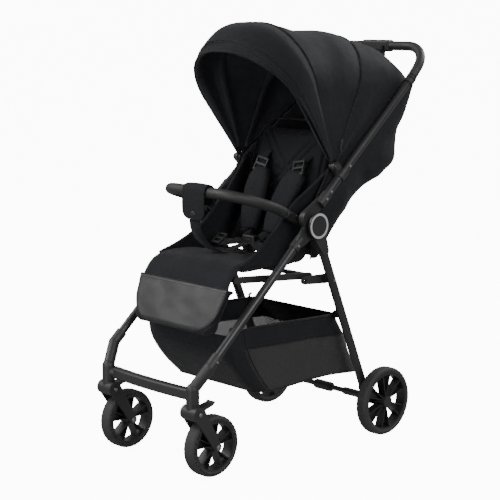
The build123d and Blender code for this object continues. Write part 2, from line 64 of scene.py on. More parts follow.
# ---- materials ----
class Paint:
    """A node material: one Principled shader, and helpers that add textures in object space."""

    def __init__(self, name, colour, roughness, **sockets):
        self.material = bpy.data.materials.new(name)
        self.material.use_nodes = True
        self.tree = self.material.node_tree
        self.shader = self.tree.nodes["Principled BSDF"]
        self.shader.inputs["Base Color"].default_value = (*colour, 1)
        self.shader.inputs["Roughness"].default_value = roughness
        for socket, value in sockets.items():
            self.shader.inputs[socket.replace("_", " ")].default_value = value
        self.coords = self.tree.nodes.new("ShaderNodeTexCoord").outputs["Object"]
        self.colour = colour
        self.roughness = roughness

    def node(self, kind, **settings):
        made = self.tree.nodes.new("ShaderNode" + kind)
        for key, value in settings.items():
            setattr(made, key, value)
        return made

    def plug(self, socket, value):
        """Links a texture to a socket, or sets a number on it."""
        if isinstance(value, bpy.types.NodeSocket):
            self.tree.links.new(value, socket)
        else:
            socket.default_value = value

    def feed(self, made, **inputs):
        for key, value in inputs.items():
            self.plug(made.inputs[key.replace("_", " ")], value)

    def noise(self, scale, detail=3.0, rough=0.5):
        made = self.node("TexNoise")
        self.feed(made, Vector=self.coords, Scale=scale, Detail=detail, Roughness=rough)
        return made.outputs["Fac"]

    def cells(self, scale):
        made = self.node("TexVoronoi", feature="F1")
        self.feed(made, Vector=self.coords, Scale=scale)
        return made.outputs["Distance"]

    def waves(self, scale, direction):
        """Fine parallel ridges, scale per metre, along a direction in the object."""
        dot = self.node("VectorMath", operation="DOT_PRODUCT")
        self.tree.links.new(self.coords, dot.inputs[0])
        dot.inputs[1].default_value = tuple(Vector(direction).normalized() * scale * 2 * pi)
        return self.maths("SINE", dot.outputs["Value"])

    def maths(self, operation, a, b=0.0):
        made = self.node("Math", operation=operation)
        self.plug(made.inputs[0], a)
        self.plug(made.inputs[1], b)
        return made.outputs[0]

    def span(self, value, lo, hi, out_lo, out_hi):
        made = self.node("MapRange")
        self.feed(made, Value=value, From_Min=lo, From_Max=hi, To_Min=out_lo, To_Max=out_hi)
        return made.outputs[0]

    def tint(self, value, low, high):
        """Base colour that runs from low to high times the paint's own colour."""
        mix = self.node("Mix", data_type="RGBA")
        self.tree.links.new(value, mix.inputs[0])
        mix.inputs[6].default_value = (*[c * low for c in self.colour], 1)
        mix.inputs[7].default_value = (*[c * high for c in self.colour], 1)
        self.tree.links.new(mix.outputs[2], self.shader.inputs["Base Color"])
        return self

    def gloss(self, value, low, high):
        """Roughness that varies by this much about the paint's own."""
        rough = self.span(value, 0.3, 0.7, self.roughness + low, self.roughness + high)
        self.tree.links.new(rough, self.shader.inputs["Roughness"])
        return self

    def bump(self, *heights):
        """Relief: pairs of a height texture and its depth in metres."""
        normal = None
        for height, depth in heights:
            made = self.node("Bump")
            self.feed(made, Strength=1.0, Distance=depth, Height=height)
            if normal is not None:
                self.tree.links.new(normal, made.inputs["Normal"])
            normal = made.outputs["Normal"]
        self.tree.links.new(normal, self.shader.inputs["Normal"])
        return self


def powder_coat():
    paint = Paint("powder_coat", (0.014, 0.014, 0.015), 0.36, Specular_IOR_Level=0.55)
    grain = paint.noise(1400, 2)
    wear = paint.noise(9, 4, 0.6)
    return paint.tint(wear, 0.8, 1.35).gloss(wear, -0.05, 0.08).bump((grain, 0.00006)).material


def moulded(name, colour, roughness, grain_depth):
    paint = Paint(name, colour, roughness)
    grain = paint.cells(900)
    patch = paint.noise(25, 3)
    return paint.tint(patch, 0.85, 1.25).gloss(patch, -0.05, 0.06).bump((grain, grain_depth)).material


def rubber():
    paint = Paint("tyre_rubber", (0.021, 0.021, 0.022), 0.72)
    dust = paint.noise(60, 5, 0.65)
    return paint.tint(dust, 0.7, 1.7).gloss(dust, -0.08, 0.1).bump((paint.noise(700, 2), 0.00012)).material


def metal(name, colour, roughness):
    paint = Paint(name, colour, roughness, Metallic=1.0)
    brushed = paint.noise(500, 2)
    return paint.tint(brushed, 0.85, 1.1).gloss(brushed, -0.05, 0.08).material


def cloth(name, colour, roughness, pitch, sheen):
    """Plain weave of two thread directions, with melange colour and soft creases."""
    paint = Paint(name, colour, roughness, Sheen_Weight=sheen, Sheen_Roughness=0.45,
                  Specular_IOR_Level=0.16)
    warp = paint.waves(1 / pitch, (1, 0.25, 0.35))
    weft = paint.waves(1 / pitch, (-0.1, 0.8, -0.75))
    weave = paint.maths("MULTIPLY", warp, weft)
    melange = paint.noise(240, 6, 0.75)
    creases = paint.noise(14, 4, 0.55)
    paint.tint(melange, 0.55, 1.6).gloss(creases, -0.06, 0.06)
    return paint.bump((weave, 0.00012), (creases, 0.0035)).material


def leatherette(name, colour, roughness, grain, cloud):
    """Embossed grain with soft clouds in colour and gloss."""
    paint = Paint(name, colour, roughness, Specular_IOR_Level=0.6)
    pebbles = paint.cells(grain)
    clouds = paint.noise(22, 5, 0.6)
    paint.tint(clouds, 1 - cloud, 1 + cloud).gloss(clouds, -0.08, 0.1)
    return paint.bump((pebbles, 0.0003), (clouds, 0.0006)).material


def webbing_cloth():
    paint = Paint("webbing", (0.008, 0.008, 0.009), 0.75, Sheen_Weight=0.06, Specular_IOR_Level=0.15)
    ribs = paint.waves(700, (0.2, 0.7, 0.7))
    cross = paint.waves(420, (1, 0.1, 0.1))
    return paint.tint(paint.noise(300, 4), 0.7, 1.5).bump((ribs, 0.0002), (cross, 0.0001)).material


def net_cloth():
    """Fine net: the threads cross at a small pitch and let light through between them."""
    paint = Paint("basket_net", (0.012, 0.012, 0.013), 0.65, Sheen_Weight=0.2)
    one = paint.maths("ABSOLUTE", paint.waves(140, (0.2, 0.75, 0.66)))
    two = paint.maths("ABSOLUTE", paint.waves(140, (-0.2, -0.66, 0.75)))
    least = paint.maths("MINIMUM", one, two)
    holes = paint.span(least, 0.55, 0.7, 1.0, 0.80)
    paint.tree.links.new(holes, paint.shader.inputs["Alpha"])
    return paint.tint(paint.noise(200, 3), 0.8, 1.3).bump((least, 0.0003)).material


TUBE = powder_coat()
NYLON = moulded("nylon", (0.016, 0.016, 0.017), 0.5, 0.00008)
NYLON_SMOOTH = moulded("smooth_nylon", (0.012, 0.012, 0.013), 0.42, 0.00003)
BUCKLE = moulded("buckle_nylon", (0.006, 0.006, 0.0065), 0.62, 0.00003)
RIM = moulded("rim_nylon", (0.017, 0.017, 0.018), 0.38, 0.00004)
RUBBER = rubber()
STEEL = metal("dark_steel", (0.28, 0.28, 0.29), 0.35)
SILVER = metal("ring_metal", (0.93, 0.93, 0.94), 0.38)
CANOPY_CLOTH = cloth("canopy_cloth", (0.0085, 0.009, 0.0115), 0.72, 0.0011, 0.06)
SEAT_CLOTH = cloth("seat_cloth", (0.008, 0.0085, 0.011), 0.7, 0.0012, 0.06)
# The lining's colour, about five times lighter than the outer cloth, is painted light: it lifts the shaded
# inside of the canopy and the back cover.
PAINTED_LIGHT_LINING = cloth("painted_light_lining_cloth", (0.045, 0.046, 0.052), 0.66, 0.0009, 0.1)
BASKET_CLOTH = cloth("basket_cloth", (0.010, 0.0105, 0.0125), 0.66, 0.0014, 0.06)
PIPING = cloth("piping_cloth", (0.006, 0.006, 0.007), 0.55, 0.0008, 0.1)
THREAD = cloth("thread", (0.02, 0.02, 0.024), 0.5, 0.0004, 0.1)
GRIP_LEATHER = leatherette("grip_leatherette", (0.0115, 0.0106, 0.0102), 0.56, 650, 0.2)
REST_LEATHER = leatherette("rest_leatherette", (0.014, 0.014, 0.0145), 0.5, 900, 0.14)
WEBBING = webbing_cloth()
NET = net_cloth()


# ---- mesh helpers ----
def wear(piece, body, finish):
    """Puts a piece on its body. The finish argument is not used."""
    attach(piece, body)


def add_mesh(name, points, faces, material, body=None, slot=None):
    mesh = bpy.data.meshes.new(name)
    mesh.from_pydata([tuple(float(c) for c in p) for p in points], [], faces)
    mesh.materials.append(material)
    mesh.shade_smooth()
    made = bpy.data.objects.new(name, mesh)
    bpy.context.scene.collection.objects.link(made)
    if body:
        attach(made, body)
    return made


def grid_faces(rows, columns, wrap=False):
    faces = []
    for i in range(rows - 1):
        for j in range(columns if wrap else columns - 1):
            k = (j + 1) % columns
            faces.append((i * columns + j, i * columns + k, (i + 1) * columns + k, (i + 1) * columns + j))
    return faces


def closed_faces(rows, sides):
    """Faces of a tube of rings, with a lid on both ends."""
    last = (rows - 1) * sides
    return grid_faces(rows, sides, wrap=True) + [tuple(range(sides))[::-1], tuple(range(last, last + sides))]


def surface(name, rows, material, **where):
    """Sheet through rows of points, all rows alike in length."""
    rows = np.array(rows, float)
    points = rows.reshape(-1, 3)
    return add_mesh(name, points, grid_faces(len(rows), len(rows[0])), material, **where)


def bake(made):
    """Applies every modifier."""
    graph = bpy.context.evaluated_depsgraph_get()
    mesh = bpy.data.meshes.new_from_object(made.evaluated_get(graph))
    made.modifiers.clear()
    made.data = mesh
    mesh.shade_smooth()
    return made


def thicken(made, thickness, levels=1):
    """Gives a sheet its thickness, and rounds its edges."""
    shell = made.modifiers.new("shell", "SOLIDIFY")
    shell.thickness = thickness
    shell.offset = 0.0
    if levels:
        made.modifiers.new("smooth", "SUBSURF").levels = levels
    return bake(made)


def curve(points, count):
    """Smooth path through points, resampled evenly."""
    p = np.array(points, float)
    p = np.vstack([2 * p[0] - p[1], p, 2 * p[-1] - p[-2]])
    t = np.linspace(0, 1, 16, endpoint=False)[:, None]
    pieces = []
    for a, b, c, d in zip(p, p[1:], p[2:], p[3:]):
        bend = (2 * a - 5 * b + 4 * c - d) * t ** 2 + (3 * b - a - 3 * c + d) * t ** 3
        pieces.append(0.5 * (2 * b + (c - a) * t + bend))
    path = np.vstack(pieces + [p[-2][None]])
    return even(path, count)


def even(path, count):
    """Path resampled at equal steps."""
    path = np.array(path, float)
    run = np.r_[0, np.cumsum(np.linalg.norm(np.diff(path, axis=0), axis=1))]
    at = np.linspace(0, run[-1], count)
    return np.stack([np.interp(at, run, path[:, k]) for k in range(path.shape[1])], 1)


def rounded(corners, radii, steps=12):
    """Polyline whose inner corners are arcs."""
    corners = np.array(corners, float)
    path = [corners[0]]
    for before, corner, after, radius in zip(corners, corners[1:], corners[2:], radii):
        u = (before - corner) / np.linalg.norm(before - corner)
        v = (after - corner) / np.linalg.norm(after - corner)
        half = np.arccos(np.clip(u @ v, -1, 1)) / 2
        cut = radius / np.tan(half)
        centre = corner + (u + v) / np.linalg.norm(u + v) * radius / np.sin(half)
        start, end = corner + u * cut - centre, corner + v * cut - centre
        sweep = np.arccos(np.clip(start @ end / radius ** 2, -1, 1))
        for step in np.linspace(0, 1, steps):
            weights = (np.sin((1 - step) * sweep), np.sin(step * sweep))
            path.append(centre + (start * weights[0] + end * weights[1]) / np.sin(sweep))
    path.append(corners[-1])
    return np.array(path)


def frames(path):
    """A side and an up direction at each point of a path, without twist."""
    path = np.array(path, float)
    along = np.gradient(path, axis=0)
    along /= np.linalg.norm(along, axis=1)[:, None]
    side = np.cross(along[0], (0.31, 0.17, 0.93))
    sides = []
    for direction in along:
        side = side - direction * (side @ direction)
        side /= np.linalg.norm(side)
        sides.append(side)
    sides = np.array(sides)
    return sides, np.cross(sides, along)


def rope(name, path, radius, material, sides=8, flat=1.0, **where):
    """Round or oval bar along a path, closed at both ends. The radius may change along it."""
    path = np.array(path, float)
    radius = np.broadcast_to(radius, len(path))
    across, over = frames(path)
    turn = np.linspace(0, 2 * pi, sides, endpoint=False)
    rings = [p + r * (np.cos(turn)[:, None] * s + np.sin(turn)[:, None] * o * flat)
             for p, s, o, r in zip(path, across, over, radius)]
    return add_mesh(name, np.vstack(rings), closed_faces(len(path), sides), material, **where)


def strap(name, path, width, thickness, material, face, **where):
    """Flat strap along a path, turned so that its broad side faces a direction."""
    path = np.array(path, float)
    face = np.broadcast_to(np.array(face, float), path.shape)
    along = np.gradient(path, axis=0)
    across = np.cross(along, face)
    across /= np.linalg.norm(across, axis=1)[:, None]
    over = np.cross(across, along)
    over /= np.linalg.norm(over, axis=1)[:, None]
    width = np.broadcast_to(width, len(path))[:, None]
    profile = [(0.5, -0.15), (0.5, 0.15), (0.47, 0.5), (-0.47, 0.5),
               (-0.5, 0.15), (-0.5, -0.15), (-0.47, -0.5), (0.47, -0.5)]
    rings = np.stack([path + across * width * a + over * thickness * b for a, b in profile], 1)
    return add_mesh(name, rings.reshape(-1, 3), closed_faces(len(path), len(profile)), material, **where)


def block(name, centre, size, material, radius, tilt=(0, 0, 0)):
    """Moulded block with rounded edges."""
    lo, hi = -np.array(size) / 2, np.array(size) / 2
    corners = [(x, y, z) for x in (lo[0], hi[0]) for y in (lo[1], hi[1]) for z in (lo[2], hi[2])]
    faces = [(0, 1, 3, 2), (4, 6, 7, 5), (0, 4, 5, 1), (2, 3, 7, 6), (0, 2, 6, 4), (1, 5, 7, 3)]
    made = add_mesh(name, corners, faces, material)
    bevel = made.modifiers.new("bevel", "BEVEL")
    bevel.width = radius
    bevel.segments = 3
    bake(made)
    made.rotation_euler = tilt
    made.location = centre
    bpy.context.view_layer.update()
    made.data.transform(made.matrix_world)
    made.rotation_euler = (0, 0, 0)
    made.location = (0, 0, 0)
    return made


def stud(name, centre, radius, height, material, axis):
    """Domed round head, such as a rivet or a snap."""
    axis = np.array(axis, float) / np.linalg.norm(axis)
    side = np.cross(axis, (0.2, 0.5, 0.84))
    side /= np.linalg.norm(side)
    other = np.cross(axis, side)
    sides = 24
    turn = np.linspace(0, 2 * pi, sides, endpoint=False)
    ring = np.cos(turn)[:, None] * side + np.sin(turn)[:, None] * other
    dome = ((1, -0.3), (1, 0.35), (0.93, 0.6), (0.75, 0.85), (0.4, 0.98), (0.02, 1.0))
    rings = [np.array(centre) + ring * radius * share + axis * height * rise for share, rise in dome]
    return add_mesh(name, np.vstack(rings), grid_faces(len(dome), sides, wrap=True), material)


def join(name, made):
    """Joins meshes of one body into one piece."""
    points, faces, materials, kinds, count = [], [], [], [], 0
    for piece in made:
        mesh = piece.data
        material = mesh.materials[0]
        if material not in materials:
            materials.append(material)
        points += [v.co.copy() for v in mesh.vertices]
        for face in mesh.polygons:
            faces.append([count + k for k in face.vertices])
            kinds.append(materials.index(material))
        count += len(mesh.vertices)
        bpy.data.objects.remove(piece)
    made = add_mesh(name, points, faces, materials[0])
    for material in materials[1:]:
        made.data.materials.append(material)
    made.data.polygons.foreach_set("material_index", kinds)
    return made


STITCH_LENGTH = 0.0042
STITCH_RADIUS = 0.00055


def stitches(name, paths, pitch=0.0065):
    """Rows of short thread dashes along paths, as one mesh."""
    points, faces, count = [], [], 0
    sides, ends = 5, ((-0.5, 0.35), (-0.2, 1), (0.2, 1), (0.5, 0.35))
    turn = np.linspace(0, 2 * pi, sides, endpoint=False)
    dash = grid_faces(len(ends), sides, wrap=True)
    for path in paths:
        path = np.array(path, float)
        run = np.linalg.norm(np.diff(path, axis=0), axis=1).sum()
        line = even(path, max(3, int(run / pitch)))
        along = np.gradient(line, axis=0)
        along /= np.linalg.norm(along, axis=1)[:, None]
        across, over = frames(line)
        for p, d, s, o in zip(line, along, across, over):
            ring = np.cos(turn)[:, None] * s + np.sin(turn)[:, None] * o
            for shift, share in ends:
                points += list(p + d * STITCH_LENGTH * shift + STITCH_RADIUS * share * ring)
            faces += [tuple(count + k for k in face) for face in dash]
            count += len(ends) * sides
    return add_mesh(name, points, faces, THREAD)


def wavy(points, size, pitch, seed):
    """A smooth, repeatable height for each point, from a few crossed waves."""
    points = np.array(points, float)
    height = np.zeros(points.shape[:-1])
    for k in range(5):
        angle = seed + 2.4 * k  # close to the golden angle, so that no two waves line up
        direction = np.array([cos(angle) * 0.8, sin(angle) * cos(angle * 1.7), sin(angle * 1.7)])
        height += np.sin(points @ direction * 2 * pi / pitch * (1 + 0.37 * k) + angle * 3) / (1 + 0.5 * k)
    return height * size / 2.2


def normals_of(rows):
    """Unit normals of a grid of points."""
    rows = np.array(rows, float)
    a, b = np.gradient(rows, axis=0), np.gradient(rows, axis=1)
    n = np.cross(b, a)
    return n / np.maximum(np.linalg.norm(n, axis=2), 1e-9)[:, :, None]


SIM_FRAMES = 20


def puff(made, voxel, pressure, cap):
    """Fills a closed form like a cushion: cloth under pressure, kept within cap of where it began."""
    remesh = made.modifiers.new("remesh", "REMESH")
    remesh.mode = "VOXEL"
    remesh.voxel_size = voxel
    bake(made)
    start = np.array([v.co for v in made.data.vertices])
    scene = bpy.context.scene
    sim = made.modifiers.new("cloth", "CLOTH")
    sim.settings.use_pressure = True
    sim.settings.uniform_pressure_force = pressure
    sim.settings.effector_weights.gravity = 0
    sim.point_cache.frame_start = 1
    sim.point_cache.frame_end = SIM_FRAMES
    for step in range(1, SIM_FRAMES + 1):
        scene.frame_set(step)
    bake(made)
    scene.frame_set(1)
    moved = np.array([v.co for v in made.data.vertices]) - start
    length = np.linalg.norm(moved, axis=1)
    share = cap * np.tanh(length / cap) / np.maximum(length, 1e-9)
    made.data.vertices.foreach_set("co", (start + moved * share[:, None]).ravel())
    relax = made.modifiers.new("relax", "SMOOTH")
    relax.iterations = 6
    made.modifiers.new("smooth", "SUBSURF").levels = 1
    bake(made)


def nearest(points, paths):
    """Distance from each point to the closest of some polylines."""
    best = np.full(len(points), 1e9)
    for path in paths:
        path = np.array(path, float)
        for a, b in zip(path, path[1:]):
            span = b - a
            t = np.clip((points - a) @ span / max(span @ span, 1e-12), 0, 1)
            best = np.minimum(best, np.linalg.norm(points - a - t[:, None] * span, axis=1))
    return best


def groove(made, paths, depth, width):
    """Presses sewn channels into a piece along paths."""
    mesh = made.data
    points = np.array([v.co for v in mesh.vertices])
    inward = -np.array([v.normal for v in mesh.vertices])
    away = nearest(points, paths)
    points += inward * (depth * np.exp(-(away / width) ** 2))[:, None]
    mesh.vertices.foreach_set("co", points.ravel())
    mesh.update()


def lay_on(made, path, toward, lift=0.0):
    """Path dropped on a piece's surface along a direction, then lifted a little."""
    tree = BVHTree.FromObject(made, bpy.context.evaluated_depsgraph_get())
    toward = Vector(toward).normalized()
    laid = []
    for point in path:
        hit = tree.ray_cast(Vector(point) - toward * 0.15, toward)[0]
        if hit is not None:
            laid.append(hit - toward * lift)
    return np.array(laid)


def cut_sheet(rows):
    """Takes a sheet's rows as an array and does nothing more with them."""
    rows = np.array(rows, float)


def across_x(path, x):
    """Side-view (y, z) points at one x."""
    path = np.array(path, float)
    return np.column_stack([np.full(len(path), x), path])


# ---- canopy: three panels over three bows ----
BOWS = {"rear": 64.5, "mid": 107.0, "front": 124.5}  # angles up from +Y about the canopy pivot
BOW_REACH = {"rear": 0.350, "mid": 0.364, "front": 0.368}
BOW_CORNER = 0.150
RIM_ANGLE = BOWS["front"] + 4.3
COVER_ANGLE = 32.0  # where the rear panel meets the back cover
CANOPY_HALF = 0.1712
HOOD_HALF = 0.1800
# The cloth at an angle up from +Y: how far its crown reaches from the pivot, how its corners are rounded, how
# wide it is, and how far, in degrees, an edge's foot falls behind its crown.
CROWN = [(130, 0.3655), (128, 0.3690), (123, 0.3780), (118, 0.3845), (113, 0.3830), (107, 0.3710),
         (102, 0.3570), (94, 0.3400), (86, 0.3350), (78, 0.3435), (70, 0.3520), (64.5, 0.3560), (59, 0.3600),
         (52, 0.3735), (45, 0.3855), (38, 0.3905), (COVER_ANGLE, 0.3910)]
ARCH_CORNER = [(130, 0.165), (107, 0.148), (86, 0.140), (64.5, 0.150), (50, 0.110), (42, 0.085), (32, 0.050)]
ARCH_HALF = [(130, HOOD_HALF), (113, 0.1785), (107, CANOPY_HALF), (50, CANOPY_HALF), (40, 0.1650),
             (32, 0.1630)]
LEAN = [(130, 4.7), (107, 0.0), (32, 0.0)]
ACROSS = 73  # points along an arch
CLOTH = 0.0014  # thickness of the canopy's cloth
SHEET = 0.0022  # thickness of the seat's cloth


def at_angle(table, angle):
    table = np.array(table)
    table = table[np.argsort(table[:, 0])]
    return float(np.interp(angle, table[:, 0], table[:, 1]))


CROWN_LINE = curve(CROWN, 160)


def arch_path(half, reach, corner, start, crown):
    """Arch in its own plane: up one side, over the crown and down the other."""
    corners = [(half, start), (half, reach - crown), (-half, reach - crown), (-half, start)]
    flat = even(rounded(corners, (corner, corner), 24), ACROSS)
    flat[:, 1] += crown * np.clip(1 - (flat[:, 0] / half) ** 2, 0, 1)
    return flat


def about_pivot(flat, angles):
    """Arch points turned up about the canopy pivot, each to its own angle in degrees."""
    turn = np.radians(np.broadcast_to(angles, len(flat)))
    return np.column_stack([flat[:, 0], CANOPY[0] + flat[:, 1] * np.cos(turn),
                            CANOPY[1] + flat[:, 1] * np.sin(turn)])


def canopy_arch(angle, inset=0.0, start=0.014):
    """Cross section of the canopy's cloth at an angle."""
    half, reach = at_angle(ARCH_HALF, angle) - inset, at_angle(CROWN_LINE, angle) - inset
    flat = arch_path(half, reach, at_angle(ARCH_CORNER, angle), start, 0.010)
    foot = np.clip(1 - flat[:, 1] / 0.14, 0, 1)
    flat[:, 0] *= 1 - foot * max(0.0, 1 - CANOPY_HALF / half)
    return about_pivot(flat, angle - at_angle(LEAN, angle) * (1 - flat[:, 1] / reach))


def canopy_rows(high, low, steps, billow):
    """Panel between two angles, with soft creases and a swell between its bows."""
    rows = np.array([canopy_arch(angle) for angle in np.linspace(high, low, steps)])
    out = normals_of(rows)
    middle = np.array([0, CANOPY[0], CANOPY[1] + 0.12])  # a point inside the canopy
    out *= np.sign(((rows - middle) * out).sum(2))[:, :, None]
    between = np.sin(np.linspace(0, pi, steps))[:, None]
    reach = np.linalg.norm(rows[:, :, 1:] - CANOPY, axis=2)
    loose = np.clip((reach - 0.05) / 0.25, 0, 1)
    swell = (billow + wavy(rows, 0.0026, 0.21, high) + wavy(rows, 0.0009, 0.07, low)) * between * loose
    return rows + out * swell[:, :, None]


def paint_light_inside(panel):
    """Lining on the faces that look in at the child, in a lighter colour that is painted light: it stands in
    for the light that the canopy's shade keeps from its inside.
    """
    panel.data.materials.append(PAINTED_LIGHT_LINING)
    middle = Vector((0, CANOPY[0] - 0.02, CANOPY[1] + 0.10))  # about where the child's head is
    for face in panel.data.polygons:
        if face.normal.dot(middle - face.center) > 0:
            face.material_index = 1


def canopy_panel(name, high, low, billow, node):
    """Panel between two angles, thickened, in place of a CAD node that it hides."""
    rows = canopy_rows(high, low, 26, billow)
    if name == "canopy_front":
        turned_in = ((-4.5, 0.0062), (-0.6, 0.0052), (0.2, 0.003))
        hem = [canopy_arch(high + lean, inset) for lean, inset in turned_in]
        rows = np.vstack([hem, rows])
    panel = surface(name + "_fabric", rows, CANOPY_CLOTH)
    # The inner faces take the lining's lighter colour, which is painted light.
    paint_light_inside(thicken(panel, CLOTH))
    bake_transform(panel)
    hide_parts(node)
    cut_sheet(rows)


def bow_trim(kind):
    """Fabric channel under a bow, and the seam over it."""
    body, names = f"canopy_{kind}", f"canopy_{kind}_bow"
    angle, wall = BOWS[kind], 0.0026
    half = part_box(names)[1][0] - wall
    flat = arch_path(half, BOW_REACH[kind] - wall, BOW_CORNER - wall, 0.03, 0.0)
    inner = about_pivot(flat, angle)
    facing = about_pivot(np.zeros((1, 2)) + (0, 0.1), angle) * (0, 1, 1) - inner
    width = 0.012 + 0.012 * np.clip((flat[:, 1] - 0.05) / 0.2, 0, 1)
    # The channel takes the lining's lighter colour, which is painted light on the canopy's shaded inside.
    strap(f"{names}_channel", inner, width, 0.0012, PAINTED_LIGHT_LINING, facing, body=body, slot="canopy_fabric")
    lines = []
    for lean in (-0.42, 0.42):
        over = canopy_arch(angle + lean, inset=-0.0012, start=0.02)
        lines.append(rope("line", over, 0.00125, PIPING, sides=6))
    threads = [canopy_arch(angle + lean, inset=-0.0010, start=0.03) for lean in (-1.15, 1.15)]
    lines.append(stitches("thread", threads))
    wear(join(f"{names}_seam", lines), body, "canopy_fabric")


def front_rim():
    """Binding round the canopy's open edge, with its row of stitches."""
    edge = canopy_arch(RIM_ANGLE, inset=0.0005, start=0.018)
    binding = rope("binding", edge, 0.0028, PIPING)
    threads = stitches("thread", [canopy_arch(RIM_ANGLE - lean, -0.0012, 0.03) for lean in (1.4, 3.0)])
    wear(join("canopy_rim_binding", [binding, threads]), "canopy_front", "canopy_fabric")


def zip_puller():
    """Zip slider and its pull on the near end of the rear seam."""
    spot = canopy_arch(BOWS["rear"], -0.003, 0.03)[3]
    slider = block("slider", spot, (0.003, 0.008, 0.012), NYLON, 0.001)
    hang = np.array([0.0015, -0.004, -0.014])
    pull = block("pull", spot + hang, (0.0016, 0.006, 0.020), NYLON_SMOOTH, 0.0007)
    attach(join("canopy_zip_puller", [slider, pull]), "canopy_rear")


for place, high, low, bodies, billow in (
        ("front", RIM_ANGLE, BOWS["mid"], ("canopy_mid", "canopy_front"), 0.001),
        ("middle", BOWS["mid"], BOWS["rear"], ("canopy_rear", "canopy_mid"), -0.001),
        ("rear", BOWS["rear"], COVER_ANGLE, ("handle_frame", "canopy_rear"), 0.001)):
    canopy_panel(f"canopy_{place}", high, low, billow, f"canopy_panel_{place}")
for kind in BOWS:
    bow_trim(kind)
front_rim()
zip_puller()


# ---- back cover ----
COVER_BACK = [(0.385, 0.918), (0.375, 0.872), (0.359, 0.822), (0.344, 0.775), (0.342, 0.735), (0.330, 0.700),
              (0.272, 0.672), (0.165, 0.622), (0.095, 0.552), (0.050, 0.506), (0.020, 0.486)]
COVER_FRONT = [(0.356, 0.914), (0.300, 0.879), (0.240, 0.842), (0.180, 0.804), (0.120, 0.767), (0.060, 0.727),
               (0.030, 0.680), (0.000, 0.630), (-0.010, 0.580), (-0.015, 0.530), (-0.016, 0.486)]
COVER_HALF = 0.1615


def cover_point(front, back, turn):
    """Point of a squared-off U between the front edge (turn = -1 or 1) and the back (turn = 0)."""
    depth = abs(cos(turn * pi / 2)) ** 0.30
    side = abs(sin(turn * pi / 2)) ** 0.36 * (1 if turn > 0 else -1)
    y, z = front + (back - front) * depth
    return (COVER_HALF * side, y, z)


def back_cover():
    steps = 44
    front, back = curve(COVER_FRONT, steps), curve(COVER_BACK, steps)
    turns = np.linspace(-1, 1, 61)
    rows = np.array([[cover_point(f, b, t) for t in turns] for f, b in zip(front, back)])
    out = normals_of(rows)
    out *= np.sign(((rows - np.array([0, 0.10, 0.70])) * out).sum(2))[:, :, None]
    down = np.sin(np.linspace(0.12, pi - 0.12, steps))
    edge = np.clip((1 - np.abs(turns)) * 5, 0, 1)[None, :] * down[:, None]
    slack = wavy(rows, 0.0085, 0.17, 2.0) + 0.35 * wavy(rows, 0.006, 0.06, 5.0)
    rows = rows + out * (slack * edge)[:, :, None]
    cover = thicken(surface("back_cover_fabric", rows, CANOPY_CLOTH), CLOTH)
    # The cover's inner faces take the lining's lighter colour, which is painted light.
    paint_light_inside(cover)
    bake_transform(cover)
    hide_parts("back_cover")
    cut_sheet(rows)
    edges = [rope("edge", rows[:, k] + (0.0012 * s, 0, 0), 0.0022, PIPING)
             for k, s in ((0, -1), (-1, 1))]
    hem = join("back_cover_edge", edges)
    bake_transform(hem)
    top = rope("top", rows[0] + (0, 0.001, 0.001), 0.0020, PIPING)
    threads = stitches("thread", [rows[1] + (0, 0.002, 0)])
    wear(join("back_cover_seam", [top, threads]), "handle_frame", "canopy_fabric")


back_cover()


# ---- seat ----
SEAT_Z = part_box("seat_pad")[1][2]
BACK_LOW = np.array([-0.026, 0.502])  # (y, z) in front of the backrest: its foot, its bend and its top
BACK_MID = np.array([0.056, 0.668])
BACK_HIGH = np.array([0.103, 0.816])


def slab(name, outline, half, material):
    """Closed form: a side outline of (y, z) points between x = -half and half."""
    count = len(outline)
    points = [(s * half, y, z) for s in (-1, 1) for y, z in outline]
    faces = [tuple(range(count)), tuple(range(2 * count - 1, count - 1, -1))]
    faces += [(k, (k + 1) % count, count + (k + 1) % count, count + k) for k in range(count)][::-1]
    return add_mesh(name, points, faces, material)


def round_corners(made, centre_run, centre_x, radius, origin, along):
    """Rounds a board's far corners about a centre, in the plane of x and a direction along the board."""
    points = np.array([v.co for v in made.data.vertices])
    along = np.array(along, float) / np.linalg.norm(along)
    run = (points[:, 1:] - np.array(origin)) @ along
    x = np.abs(points[:, 0])
    over_x, over_run = x - centre_x, run - centre_run
    inside = (over_x > 0) & (over_run > 0)
    away = np.hypot(over_x, over_run)
    pull = np.where(inside & (away > radius), radius / np.maximum(away, 1e-9), 1.0)
    new_x = np.where(inside, centre_x + over_x * pull, x)
    new_run = np.where(inside, centre_run + over_run * pull, run)
    points[:, 0] = np.sign(points[:, 0]) * new_x
    points[:, 1:] += (new_run - run)[:, None] * along
    made.data.vertices.foreach_set("co", points.ravel())
    made.data.update()


def finish_cushion(pad, name, channels, toward, sewn, body, node, steps):
    """Sews a cushion's channels, to a depth and width, puts thread in them, and places cushion and thread."""
    laid = [lay_on(pad, even(line, steps[0]), toward) for line in channels]
    groove(pad, laid, *sewn)
    wear(pad, body, "seat_fabric")
    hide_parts(node)
    rows = [lay_on(pad, even(line, steps[1]), toward, lift=0.0004) for line in channels]
    wear(stitches(name, rows), body, "seat_fabric")


